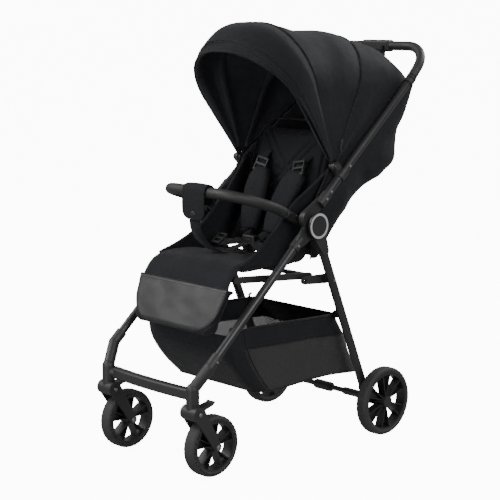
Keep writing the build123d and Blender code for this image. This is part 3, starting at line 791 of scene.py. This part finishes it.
def backrest():
    """Quilted backrest: puffed slab, round top corners, crossed channels and a head panel."""
    outline = [(-0.020, 0.502), (0.060, 0.667), (0.105, 0.808), (0.122, 0.802), (0.078, 0.660),
               (-0.002, 0.498)]
    pad = slab("backrest_cushion", outline, 0.140, SEAT_CLOTH)
    puff(pad, voxel=0.006, pressure=4.5, cap=0.011)
    top_dir = BACK_HIGH - BACK_MID
    length = np.linalg.norm(top_dir)
    round_corners(pad, length - 0.050, 0.088, 0.055, BACK_MID, top_dir)

    def on_back(x, share):
        """Point in front of the backrest: share runs 0 at the bend to 1 at the top."""
        y, z = BACK_MID + top_dir * share if share > 0 else BACK_MID + (BACK_MID - BACK_LOW) * share
        return (x, y, z)

    channels = []
    for s in (-1, 1):
        for shift in (-0.013, 0.013):
            channels.append([on_back(s * (-0.105 + shift), 0.86), on_back(s * (0.012 + shift), 0.02),
                             on_back(s * (0.085 + shift), -0.45)])
        channels.append([on_back(s * 0.118, 0.80), on_back(s * 0.118, 0.0), on_back(s * 0.122, -0.85)])
    channels.append([on_back(x, 0.86) for x in np.linspace(-0.118, 0.118, 9)])
    finish_cushion(pad, "backrest_stitches", channels, (0, 0.90, -0.35), (0.0042, 0.0045), "backrest",
                   "backrest_pad", (60, 70))
    up = [(-0.1485, -0.012, 0.50), (-0.1485, 0.068, 0.664), (-0.1485, 0.101, 0.772), (-0.100, 0.117, 0.819)]
    rim_path = up + [(-x, y, z) for x, y, z in reversed(up)]
    rim = rounded(rim_path, (0.2, 0.1, 0.03, 0.03, 0.1, 0.2))
    rope("backrest_piping", rim, 0.0024, PIPING, body="backrest", slot="seat_fabric")


def seat_cushion():
    """Padded seat with two long channels and two across."""
    outline = [(-0.234, 0.477), (-0.038, 0.478), (-0.038, 0.489), (-0.070, 0.488), (-0.130, 0.488),
               (-0.234, 0.489)]
    pad = slab("seat_cushion", outline, 0.148, SEAT_CLOTH)
    puff(pad, voxel=0.006, pressure=4.0, cap=0.007)
    channels = [[(s * 0.112, -0.232, SEAT_Z), (s * 0.106, -0.04, SEAT_Z)] for s in (-1, 1)]
    channels += [[(-0.106, y, SEAT_Z), (0.106, y, SEAT_Z)] for y in (-0.185, -0.115)]
    finish_cushion(pad, "seat_stitches", channels, (0, 0, -1), (0.0035, 0.0045), "front_frame", "seat_pad",
                   (50, 50))


def seat_apron():
    """Fabric that rolls over the seat's front edge on to the calf rest."""
    side = curve([(-0.150, 0.4965), (-0.205, 0.4985), (-0.240, 0.4955), (-0.264, 0.486), (-0.281, 0.470),
                  (-0.292, 0.450), (-0.298, 0.436)], 26)
    rows = []
    for share, (y, z) in zip(np.linspace(0, 1, 26), side):
        half = 0.146 + 0.014 * share
        x = np.linspace(-half, half, 45)
        crown = 0.004 * np.cos(x / half * pi / 2)
        drop = 0.010 * np.clip((np.abs(x) / half - 0.90) / 0.10, 0, 1) ** 2
        rows.append(np.column_stack([x, np.full(45, y) - crown * share, z + crown * (1 - share) - drop]))
    rows = np.array(rows)
    rows[:, :, 2] += wavy(rows, 0.0022, 0.11, 7.0) * np.linspace(0, 1, 26)[:, None]
    apron = thicken(surface("seat_apron", rows, SEAT_CLOTH), SHEET)
    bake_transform(apron)
    cut_sheet(rows)


WALL_FOOT = 0.1490
WALL_TOP = [(-0.245, 0.150), (-0.180, 0.140), (-0.130, 0.1295), (-0.030, 0.1295), (0.020, 0.146),
            (0.078, 0.163)]  # (y, half width) along the walls' upper edges


def side_walls():
    """Fabric from the seat's edge up to the side tubes, with a padded border."""
    low = curve([(-0.238, 0.480), (-0.160, 0.481), (-0.090, 0.482), (-0.030, 0.484), (0.006, 0.540),
                 (0.048, 0.610), (0.085, 0.690)], 34)
    high = curve([(-0.245, 0.492), (-0.180, 0.517), (-0.112, 0.560), (-0.060, 0.610), (-0.012, 0.648),
                  (0.035, 0.688), (0.078, 0.724)], 34)
    top_x = np.interp(high[:, 0], *np.array(WALL_TOP).T)
    for name, s in (("left", -1), ("right", 1)):
        rows = []
        for share in np.linspace(0, 1, 12):
            flat = low + (high - low) * share
            x = WALL_FOOT + (top_x - WALL_FOOT) * share ** 0.7
            rows.append(np.column_stack([s * x, flat]))
        rows = np.array(rows)
        middle = np.sin(np.linspace(0, pi, 12))[:, None]
        rows[:, :, 0] += s * wavy(rows, 0.004, 0.12, 3.0 + s) * middle
        wall = thicken(surface(f"side_wall_{name}", rows, SEAT_CLOTH), SHEET)
        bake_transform(wall)
        cut_sheet(rows)
        border = rope(f"side_wall_border_{name}", rows[-1], 0.0048, SEAT_CLOTH, flat=0.8)
        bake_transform(border)
        if s > 0:
            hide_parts("side_walls")


seat_cushion()
backrest()
seat_apron()
side_walls()


# ---- calf rest ----
CALF_TOP = np.array([-0.286, 0.444])  # (y, z) of the board's front face at its top and its foot
CALF_LOW = np.array([-0.3365, 0.328])


def calf_rest():
    """Padded board: fabric border, glossy leatherette panel and piping between them."""
    outline = [(-0.283, 0.447), (-0.342, 0.330), (-0.327, 0.325), (-0.278, 0.430), (-0.268, 0.441)]
    board = slab("calf_board", outline, 0.162, SEAT_CLOTH)
    puff(board, voxel=0.005, pressure=4.0, cap=0.007)
    slope = CALF_LOW - CALF_TOP
    length = np.linalg.norm(slope)
    slope /= length
    points = np.array([v.co for v in board.data.vertices])
    run = np.clip(((points[:, 1:] - CALF_TOP) @ slope) / length, 0, 1)
    points[:, 0] *= 1.02 - 0.10 * run
    board.data.vertices.foreach_set("co", points.ravel())
    round_corners(board, length - 0.066, 0.084, 0.070, CALF_TOP, slope)
    wear(board, "calf_rest", "seat_fabric")
    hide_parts("leg_rest")

    corner, foot = 0.062, length - 0.0095

    def panel_half(run):
        """Half width of the leatherette at a distance down the slope."""
        drop = max(0.0, run - (foot - corner))
        return 0.1620 - 0.14 * run - (corner - (max(0.0, corner ** 2 - drop ** 2)) ** 0.5)

    out = np.array([slope[1], -slope[0]])
    rows = []
    steps = 30
    for i, run in enumerate(np.linspace(0.004, foot, steps)):
        half = panel_half(run)
        x = np.sin(np.linspace(-pi / 2, pi / 2, 49)) * half
        centre = CALF_TOP + slope * run
        edge = np.clip((1 - np.abs(x) / half) / 0.06, 0, 1) * min(1, i / 2.0, (steps - 1 - i) / 2.0)
        lift = 0.0085 + 0.0035 * np.sqrt(edge) + 0.0035 * np.cos(x / half * pi / 2)
        rows.append(np.column_stack([x, centre[0] + out[0] * lift, centre[1] + out[1] * lift]))
    rows = np.array(rows)
    rows[:, :, 1] += wavy(rows, 0.0012, 0.09, 1.0)
    panel = thicken(surface("calf_leatherette", rows, REST_LEATHER), 0.0016)
    wear(panel, "calf_rest", "rest_leather")
    loop = np.vstack([rows[0], rows[1:-1, -1], rows[-1][::-1], rows[1:-1, 0][::-1], rows[0][:1]])
    loop = even(loop, 180)
    cord = rope("cord", loop, 0.0021, PIPING)
    inner = rows[2:-2, 3:-3]
    inside = np.vstack([inner[0], inner[:, -1], inner[-1][::-1], inner[:, 0][::-1]])
    threads = stitches("thread", [inside + np.array([0, out[0], out[1]]) * 0.0016])
    wear(join("calf_rest_piping", [cord, threads]), "calf_rest", "rest_leather")


calf_rest()


# ---- harness ----
def shoulder_pads():
    """Two soft tapered pads on the backrest, each on its webbing, with a slide adjuster at the top."""
    pads, webs, clips = [], [], []
    steps, sides = 40, 28
    for s in (-1, 1):
        high, low = np.array([s * 0.066, 0.033, 0.690]), np.array([s * 0.038, -0.037, 0.542])
        route = curve([high, high * 0.68 + low * 0.32 + (0, -0.006, 0.002),
                       high * 0.3 + low * 0.7 + (0, -0.004, 0.002), low], steps)
        facing = np.array([0.0, -0.88, 0.42])
        share = np.linspace(0, 1, steps)
        width = 0.080 * np.clip(np.sin(share * pi), 0, 1) ** 0.16 * (1 - 0.18 * share)
        width[[0, -1]] = 0.050
        across = np.cross(np.gradient(route, axis=0), facing)
        across /= np.linalg.norm(across, axis=1)[:, None]
        rows = []
        for p, a, w in zip(route, across, width):
            turn = np.linspace(0, 2 * pi, sides, endpoint=False)
            flat = np.sign(np.cos(turn)) * np.abs(np.cos(turn)) ** 0.6 * w / 2
            rise = np.sign(np.sin(turn)) * np.abs(np.sin(turn)) ** 0.8 * 0.0115
            rows.append(p + a * flat[:, None] + facing * rise[:, None])
        rows = np.array(rows)
        pad = add_mesh("pad", rows.reshape(-1, 3), closed_faces(steps, sides), SEAT_CLOTH)
        edges = [route + across * (e * width / 2 * 0.86)[:, None] + facing * 0.0092 for e in (-1, 1)]
        pads += [pad, stitches("thread", [line[2:-2] for line in edges])]
        slot_at = np.array([s * 0.078, 0.072, 0.735])
        up = curve([high + facing * 0.002, high * 0.5 + slot_at * 0.5 + facing * 0.006, slot_at], 14)
        webs.append(strap("web", up, 0.025, 0.0016, WEBBING, facing))
        buckle = np.array([s * 0.020, -0.062, 0.520])
        down = curve([low - facing * 0.002, (low + buckle) / 2 + facing * 0.006, buckle], 14)
        webs.append(strap("web", down, 0.024, 0.0016, WEBBING, facing))
        lean = atan2(high[0] - low[0], high[2] - low[2])
        spot = high + (slot_at - high) * 0.22 + facing * 0.008
        clips += adjuster(spot, 0.040, 0.034, (radians(-25), -lean, 0))
    pad = join("shoulder_pads_soft", pads)
    wear(pad, "backrest", "seat_fabric")
    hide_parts("shoulder_pads")
    web = join("shoulder_webbing", webs)
    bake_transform(web)
    wear(join("shoulder_adjusters", clips), "backrest", "moulding")


def adjuster(centre, width, height, tilt):
    """Ladder-lock slide: a frame of four bars and a middle bar, as separate blocks."""
    matrix = Euler(tilt).to_matrix()
    layout = [((0, 0, height / 2), (width, 0.006, 0.006)), ((0, 0, -height / 2), (width, 0.006, 0.006)),
              ((0, -0.001, 0), (width, 0.005, 0.0065)), ((width / 2 - 0.002, 0, 0), (0.0045, 0.0065, height)),
              ((-width / 2 + 0.002, 0, 0), (0.0045, 0.0065, height))]
    return [block("bar", Vector(centre) + matrix @ Vector(offset), size, BUCKLE, 0.0012, tilt)
            for offset, size in layout]


def waist_and_crotch():
    """Waist straps with adjusters, the short crotch webbing up to the buckle, and the loop before it."""
    webs, clips = [], []
    for s in (-1, 1):
        route = curve([(s * 0.138, -0.052, 0.492), (s * 0.110, -0.075, 0.512), (s * 0.072, -0.098, 0.512),
                       (s * 0.040, -0.085, 0.516), (s * 0.018, -0.072, 0.519)], 26)
        webs.append(strap("web", route, 0.025, 0.0016, WEBBING, (0, -0.55, 0.83)))
        tilt = (radians(-52), 0, radians(8 * s))
        clips += adjuster(route[11] + (0, -0.004, 0.006), 0.036, 0.030, tilt)
    rise = curve([(0, -0.150, 0.497), (0, -0.128, 0.508), (0, -0.100, 0.512), (0, -0.078, 0.514)], 16)
    webs.append(strap("web", rise, 0.030, 0.002, WEBBING, (0, -0.35, 0.93)))
    loop = curve([(-0.012, -0.152, 0.498), (-0.034, -0.185, 0.500), (0.004, -0.200, 0.501),
                  (0.044, -0.178, 0.500), (0.030, -0.148, 0.499)], 26)
    webs.append(strap("web", loop, 0.018, 0.0015, WEBBING, (0, 0, 1)))
    wear(join("waist_webbing", webs), "front_frame", "seat_fabric")
    wear(join("waist_adjusters", clips), "front_frame", "moulding")


shoulder_pads()
waist_and_crotch()


# ---- bumper bar ----
BAR_X = 0.146
BAR_FRONT = np.array([-0.247, 0.662])
BAR_R = 0.0125


def bumper_route():
    """Middle line of the bar, from one pivot forward and across to the other."""
    one = [(BAR_X, -0.052, 0.588), (BAR_X, -0.120, 0.622), (BAR_X, *BAR_FRONT)]
    other = [(-x, y, z) for x, y, z in reversed(one)]
    return even(rounded(one + other, (0.150, 0.070, 0.070, 0.150), 20), 220)


def bumper():
    """Leatherette sleeve on the bar, the seam under it and a ring at each end."""
    route = bumper_route()
    covered = route[15:-15]
    radius = np.full(len(covered), BAR_R + 0.0009)
    radius[:2] = radius[-2:] = BAR_R + 0.0002
    rope("bumper_leatherette", covered, radius, GRIP_LEATHER, sides=28, body="bumper", slot="leatherette")
    under = covered - (0, 0, BAR_R + 0.0006)
    seam = rope("seam", under, 0.0009, PIPING, sides=6)
    threads = stitches("thread", [under + (0, side, 0.0001) for side in (0.0014, -0.0014)])
    rings = [rope("ring", route[k:k + 3], BAR_R + 0.0014, NYLON_SMOOTH, sides=28) for k in (13, -16)]
    wear(join("bumper_seam", [seam, threads] + rings), "bumper", "leatherette")


def crotch_flap():
    """Padded flap round the bar, closed by a snap, and the webbing down to the seat."""
    y, z = BAR_FRONT
    r = BAR_R + 0.0042
    wrap = [(y + r * 0.98, z - 0.034), (y + r, z - 0.010), (y + r * 0.94, z + r * 0.45),
            (y + r * 0.50, z + r * 0.92), (y, z + r * 1.04), (y - r * 0.55, z + r * 0.88),
            (y - r * 0.96, z + r * 0.40), (y - r * 1.06, z - 0.010), (y - r * 1.08, z - 0.034),
            (y - r, z - 0.058), (y - r * 0.96, z - 0.068)]
    side = curve(wrap, 48)
    rows = []
    for i, (py, pz) in enumerate(side):
        drop = max(0.0, (i - 41) / 6.0)
        half = 0.041 - 0.021 * (1 - (1 - min(drop, 0.999) ** 2) ** 0.5)
        x = np.linspace(-half, half, 25)
        crown = 0.0018 * np.cos(x / half * pi / 2)
        away = np.array([py - y, pz - z])
        away = away / max(np.linalg.norm(away), 1e-6)
        rows.append(np.column_stack([x + 0.003, py + away[0] * crown, pz + away[1] * crown]))
    rows = np.array(rows)
    flap = thicken(surface("crotch_flap", rows, SEAT_CLOTH), 0.0034, levels=2)
    wear(flap, "bumper", "seat_fabric")
    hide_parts("crotch_strap")
    cut_sheet(rows)
    out = np.array([0, -0.0022, 0])
    middle, facing = rows[42, 12], (0, -1, 0.06)
    snap = stud("snap", middle + (0, -0.0018, 0), 0.0062, 0.0022, NYLON_SMOOTH, facing)
    ring = stud("ring", middle + (0, -0.0016, 0), 0.0080, 0.0010, NYLON, facing)
    threads = stitches("thread", [rows[3:, 2] + out, rows[3:, -3] + out])
    bits = join("crotch_flap_snap", [threads, snap, ring])
    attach(bits, "bumper")
    tail = curve([(-0.2595, 0.600), (-0.2575, 0.575), (-0.247, 0.552), (-0.226, 0.530), (-0.198, 0.512),
                  (-0.172, 0.503), (-0.150, 0.499)], 34)
    web = strap("crotch_webbing", across_x(tail, 0.003), 0.040, 0.0026, SEAT_CLOTH, (0, -0.8, 0.6))
    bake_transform(web)


bumper()
crotch_flap()


# ---- basket ----
BASKET_HALF = 0.1545
BASKET_AROUND = 96
RIM_LINE = [(-0.290, 0.326), (-0.240, 0.337), (-0.120, 0.336), (0.000, 0.331), (0.090, 0.328)]
BASE_LINE = [(-0.193, 0.174), (-0.150, 0.168), (-0.080, 0.167), (0.050, 0.171), (0.182, 0.161)]
BELLY = (-0.032, 0.013)  # how far the front wall swells forward and up, half way down


def basket_loop(depth):
    """Round-cornered loop round the basket, from depth 0 at the rim to 1 at the base."""
    steps = 60
    rim, base = curve(RIM_LINE, steps), curve(BASE_LINE, steps)
    ahead = np.linspace(1, 0, steps)[:, None] ** 3
    line = rim + (base - rim) * depth + np.array(BELLY) * ahead * sin(pi * depth ** 1.15)
    half = BASKET_HALF - 0.010 * depth ** 2
    pinch = 0.004 * sin(pi * depth)
    turn = np.linspace(0, 2 * pi, BASKET_AROUND, endpoint=False) + pi / 4
    circle = np.array([np.cos(turn), np.sin(turn)])
    square = np.sign(circle) * np.abs(circle) ** 0.30
    square /= np.maximum(np.abs(square).max(0), 1e-6)
    soft = 0.15  # share of the circle in the loop, which rounds its corners
    u, v = np.clip(square * (1 - soft) + circle * soft * 1.2, -1, 1)
    along = np.interp((v + 1) / 2, np.linspace(0, 1, steps), line[:, 0])
    height = np.interp((v + 1) / 2, np.linspace(0, 1, steps), line[:, 1])
    bow = pinch * (1 - v ** 2)
    return np.column_stack([u * (half - bow), along, height])


def basket():
    """Sewn bag: solid front and floor, netted sides and back, and a broad band round the top."""
    depths = np.linspace(0, 1, 25)
    loops = np.array([basket_loop(d) for d in depths])
    swell = wavy(loops, 0.003, 0.16, 4.0) * np.sin(depths * pi)[:, None]
    loops = loops + normals_of(loops) * swell[:, :, None]
    front = loops[len(depths) // 2, :, 1] < -0.215
    band_rows, last = 8, len(depths) - 1
    floor_rings = []
    base = loops[-1]
    middle = base.mean(0)
    for share in (0.97, 0.88, 0.7, 0.45, 0.2, 0.03):
        ring = middle + (base - middle) * share
        ring[:, 2] -= 0.006 * (1 - share ** 2)
        floor_rings.append(ring)
    points = np.vstack([*loops, *floor_rings])
    solid, net = [], []
    for index, face in enumerate(grid_faces(len(depths) + len(floor_rings), BASKET_AROUND, wrap=True)):
        i, j = divmod(index, BASKET_AROUND)
        k = (j + 1) % BASKET_AROUND
        (solid if i < band_rows or i >= last or front[j] and front[k] else net).append(face)
    shell = add_mesh("basket_cloth", points, solid, BASKET_CLOTH)
    drop_loose(shell)
    thicken(shell, 0.0018)
    mesh_side = add_mesh("basket_net", points, net, NET)
    drop_loose(mesh_side)
    thicken(mesh_side, 0.0009, levels=0)
    rims = [closed_rope(loops[0] + (0, 0, 0.001), 0.0028, PIPING),
            closed_rope(loops[band_rows], 0.0018, PIPING), closed_rope(base, 0.0024, PIPING)]
    rims += [rope("rim", loops[:, j], 0.0022, PIPING) for j in np.flatnonzero(front != np.roll(front, 1))]
    outward = np.sign(loops[0][:, :1]) * np.array([[0.0013, 0, 0]])
    threads = stitches("thread", [loops[k] + outward for k in (1, band_rows - 1)], pitch=0.008)
    trims = join("basket_piping", rims + [threads])
    straps = []
    for s in (-1, 1):
        for (y, z), (ty, tz) in (((-0.268, 0.330), (-0.296, 0.342)), ((0.076, 0.326), (0.088, 0.330))):
            x = s * (BASKET_HALF - 0.003)
            bend = (s * 0.163, (y + ty) / 2, (z + tz) / 2 + 0.004)
            path = curve([(x, y, z), bend, (s * 0.170, ty, tz)], 10)
            straps.append(strap("tab", path, 0.022, 0.0018, WEBBING, (s, 0.2, 0.3)))
    tabs = join("basket_tabs", straps)
    for piece in (shell, mesh_side, trims, tabs):
        wear(piece, "front_frame", "basket_fabric")
    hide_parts("basket")


def drop_loose(made):
    """Removes points that no face uses."""
    mesh = made.data
    used = sorted({k for face in mesh.polygons for k in face.vertices})
    index = {old: new for new, old in enumerate(used)}
    points = [tuple(mesh.vertices[k].co) for k in used]
    faces = [[index[k] for k in face.vertices] for face in mesh.polygons]
    material = mesh.materials[0]
    fresh = bpy.data.meshes.new(mesh.name)
    fresh.from_pydata(points, [], faces)
    fresh.materials.append(material)
    fresh.shade_smooth()
    made.data = fresh


def closed_rope(loop, radius, material):
    loop = even(np.vstack([loop, loop[:1]]), 200)
    return rope("loop", loop, radius, material, sides=6)


basket()


# ---- wheels ----
def tyre_skin(name, centre, radius, half, wall, body, node):
    """Tyre with rounded shoulders and a knurled tread."""
    around = 216
    shoulder = 0.008
    profile = [(-half, -wall), (-half, -wall * 0.55), (-half, -shoulder)]
    for step in np.linspace(0, pi / 2, 6)[1:]:
        profile.append((-half + shoulder * (1 - cos(step)), -shoulder + shoulder * sin(step)))
    tread = np.linspace(-half + shoulder, half - shoulder, 19)[1:-1]
    rounding = [(x, -0.0012 * (x / half) ** 2) for x in tread]
    profile += rounding + [(-x, d) for x, d in reversed(profile)]
    points = []
    for i in range(around):
        turn = 2 * pi * i / around
        for j, (x, d) in enumerate(profile):
            on_tread = d > -shoulder * 0.45 and abs(x) < half * 0.97
            knurl = -0.0007 if on_tread and (i // 3 + j // 2) % 2 == 0 else 0
            side_mark = -0.0006 if abs(x) >= half and i % 6 < 2 and d > -wall * 0.6 else 0
            r = radius + d + knurl - 0.0002
            points.append((centre[0] + x + side_mark * np.sign(x), centre[1] + r * cos(turn),
                           centre[2] + r * sin(turn)))
    count = len(points)
    faces = [tuple(k % count for k in face) for face in grid_faces(around + 1, len(profile), wrap=True)]
    made = add_mesh(name, points, faces, RUBBER, body=body, slot="tyre_rubber")
    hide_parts(node)


def fork_bolts(side):
    """Bolt heads on both faces of a caster's fork: at the axle, and at the top of its arms."""
    x, y, z = pivot[f"front_wheel_spin_{side}"]
    bits = []
    for e in (-1, 1):
        bits.append(stud("bolt", (x + e * 0.0278, y, z), 0.0052, 0.0016, STEEL, (e, 0, 0)))
        bits.append(stud("bolt", (x + e * 0.0266, -0.405, 0.165), 0.0050, 0.0016, STEEL, (e, 0, 0)))
    wear(join(f"fork_bolts_{side}", bits), f"caster_{side}", "steel")


for side in ("left", "right"):
    for place, radius, half, wall in (("front", 0.075, 0.018, 0.014), ("rear", 0.090, 0.016, 0.015)):
        centre = pivot[f"{place}_wheel_spin_{side}"]
        tyre_skin(f"{place}_tyre_skin_{side}", centre, radius, half, wall, f"{place}_wheel_{side}",
                  f"{place}_tyre_{side}")
    fork_bolts(side)


# ---- small fittings ----
UPPER_TUBE = (np.array([-0.005, 0.624]), np.array([0.333, 0.921]))  # (y, z) of a tube's two ends
FRONT_TUBE = (np.array([-0.072, 0.545]), np.array([-0.372, 0.273]))
TUBE_FACE = 0.1912


def tube_rivets():
    """Rivets along the side tubes."""
    for side, s in (("left", -1), ("right", 1)):
        for segment, shares, body in ((UPPER_TUBE, (0.045, 0.10, 0.30), "handle_frame"),
                                      (FRONT_TUBE, (0.055, 0.955), "front_frame")):
            made = []
            for share in shares:
                y, z = segment[0] + (segment[1] - segment[0]) * share
                lift = 0.0024 if share < 0.08 or share > 0.92 else 0.0
                made.append(stud("rivet", (s * (TUBE_FACE + lift), y, z), 0.0034, 0.0015, STEEL, (s, 0, 0)))
            wear(join(f"{body}_rivets_{side}", made), body, "steel")


def fold_strap():
    """Short strap that hangs behind the fold housing."""
    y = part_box("handle_grip")[1][1] - 0.0125
    path = curve([(-0.030, y - 0.010, 0.980), (-0.032, y - 0.030, 0.946), (-0.030, y - 0.044, 0.918),
                  (-0.028, y - 0.052, 0.896)], 20)
    strap("fold_strap", path, 0.026, 0.0022, WEBBING, (0, -0.6, 0.8), body="handle_frame", slot="seat_fabric")


tube_rivets()
fold_strap()


# ---- materials of the CAD nodes ----
FINISH = {
    TUBE: ["front_tube_left", "front_tube_right", "upper_tube_left", "upper_tube_right", "handle_bar",
           "rear_leg_left", "rear_leg_right", "rear_axle", "seat_frame", "canopy_front_bow", "canopy_mid_bow",
           "canopy_rear_bow"],
    NYLON: ["front_crossbar", "joint_housing_left", "joint_housing_right", "upper_knuckles", "handle_collars",
            "canopy_brackets", "fold_housing", "rear_knuckles", "axle_brackets", "rear_links", "brake_pedal",
            "caster_fork_left", "caster_fork_right", "swivel_lock_left", "swivel_lock_right"],
    NYLON_SMOOTH: ["joint_caps", "fold_trigger", "fold_lock", "harness_buckle", "buckle_button",
                   "bumper_button_left", "bumper_button_right", "bumper_bar"],
    RIM: ["front_rim_left", "front_rim_right", "rear_rim_left", "rear_rim_right"],
    STEEL: ["main_pivot_bolts", "leg_screws", "front_axle_left", "front_axle_right"],
    SILVER: ["joint_rings"],
    GRIP_LEATHER: ["handle_grip"],
}
for material, names in FINISH.items():
    for name in names:
        mesh = nodes[name].data
        mesh.materials.clear()
        mesh.materials.append(material)


# ---- floor, light and camera ----
def stage():
    """White paper sweep: a floor that turns up far behind, bright on its own and lighting nothing else."""
    paper = bpy.data.materials.new("paper_sweep")
    paper.use_nodes = True
    shader = paper.node_tree.nodes["Principled BSDF"]
    shader.inputs["Base Color"].default_value = (0.9, 0.9, 0.9, 1)
    shader.inputs["Roughness"].default_value = 0.9
    shader.inputs["Emission Color"].default_value = (1, 1, 1, 1)
    shader.inputs["Emission Strength"].default_value = 11.0
    flat, high = 24.0, 12.0
    floor = [(-flat, -flat, 0), (flat, -flat, 0), (flat, flat, 0), (-flat, flat, 0)]
    wall = [(x, y, high) for x, y, z in floor]
    faces = [(0, 1, 2, 3)] + [(k, (k + 1) % 4, 4 + (k + 1) % 4, 4 + k) for k in range(4)]
    sweep = add_mesh("floor", floor + wall, faces, paper)
    sweep.visible_diffuse = False
    sweep.visible_glossy = False
    world = bpy.data.worlds.new("studio")
    bpy.context.scene.world = world
    world.use_nodes = True
    world.node_tree.nodes["Background"].inputs["Color"].default_value = (1, 1, 1, 1)
    world.node_tree.nodes["Background"].inputs["Strength"].default_value = 0.35


def soft_light(name, place, aim, size, watts):
    """Round area light that points at a spot."""
    light = bpy.data.lights.new(name, "AREA")
    light.shape = "DISK"
    light.size = size
    light.energy = watts
    made = bpy.data.objects.new(name, light)
    made.location = place
    made.rotation_euler = (Vector(aim) - Vector(place)).to_track_quat("-Z", "Y").to_euler()
    bpy.context.scene.collection.objects.link(made)


def camera():
    """The photograph's viewpoint: its azimuth and its tilt."""
    turn, tilt = radians(46.5706), radians(9.5189)
    data = bpy.data.cameras.new("camera")
    data.lens = 100.0
    data.sensor_width = 36.0
    made = bpy.data.objects.new("camera", data)
    made.location = (2.5406, -2.4755, 1.0822)
    aim = Vector((-sin(turn) * cos(tilt), cos(turn) * cos(tilt), -sin(tilt)))
    made.rotation_euler = aim.to_track_quat("-Z", "Y").to_euler()
    bpy.context.scene.collection.objects.link(made)
    bpy.context.scene.camera = made


stage()
middle = (0, 0, 0.55)
soft_light("key", (-2.2, -2.6, 3.2), middle, 2.4, 130)
soft_light("side", (3.4, -0.6, 2.2), middle, 2.0, 70)
soft_light("rim_light", (0.5, 3.2, 2.8), middle, 2.0, 90)
soft_light("fill", (0.5, -3.4, 0.8), (0, 0.1, 0.9), 1.6, 45)
camera()
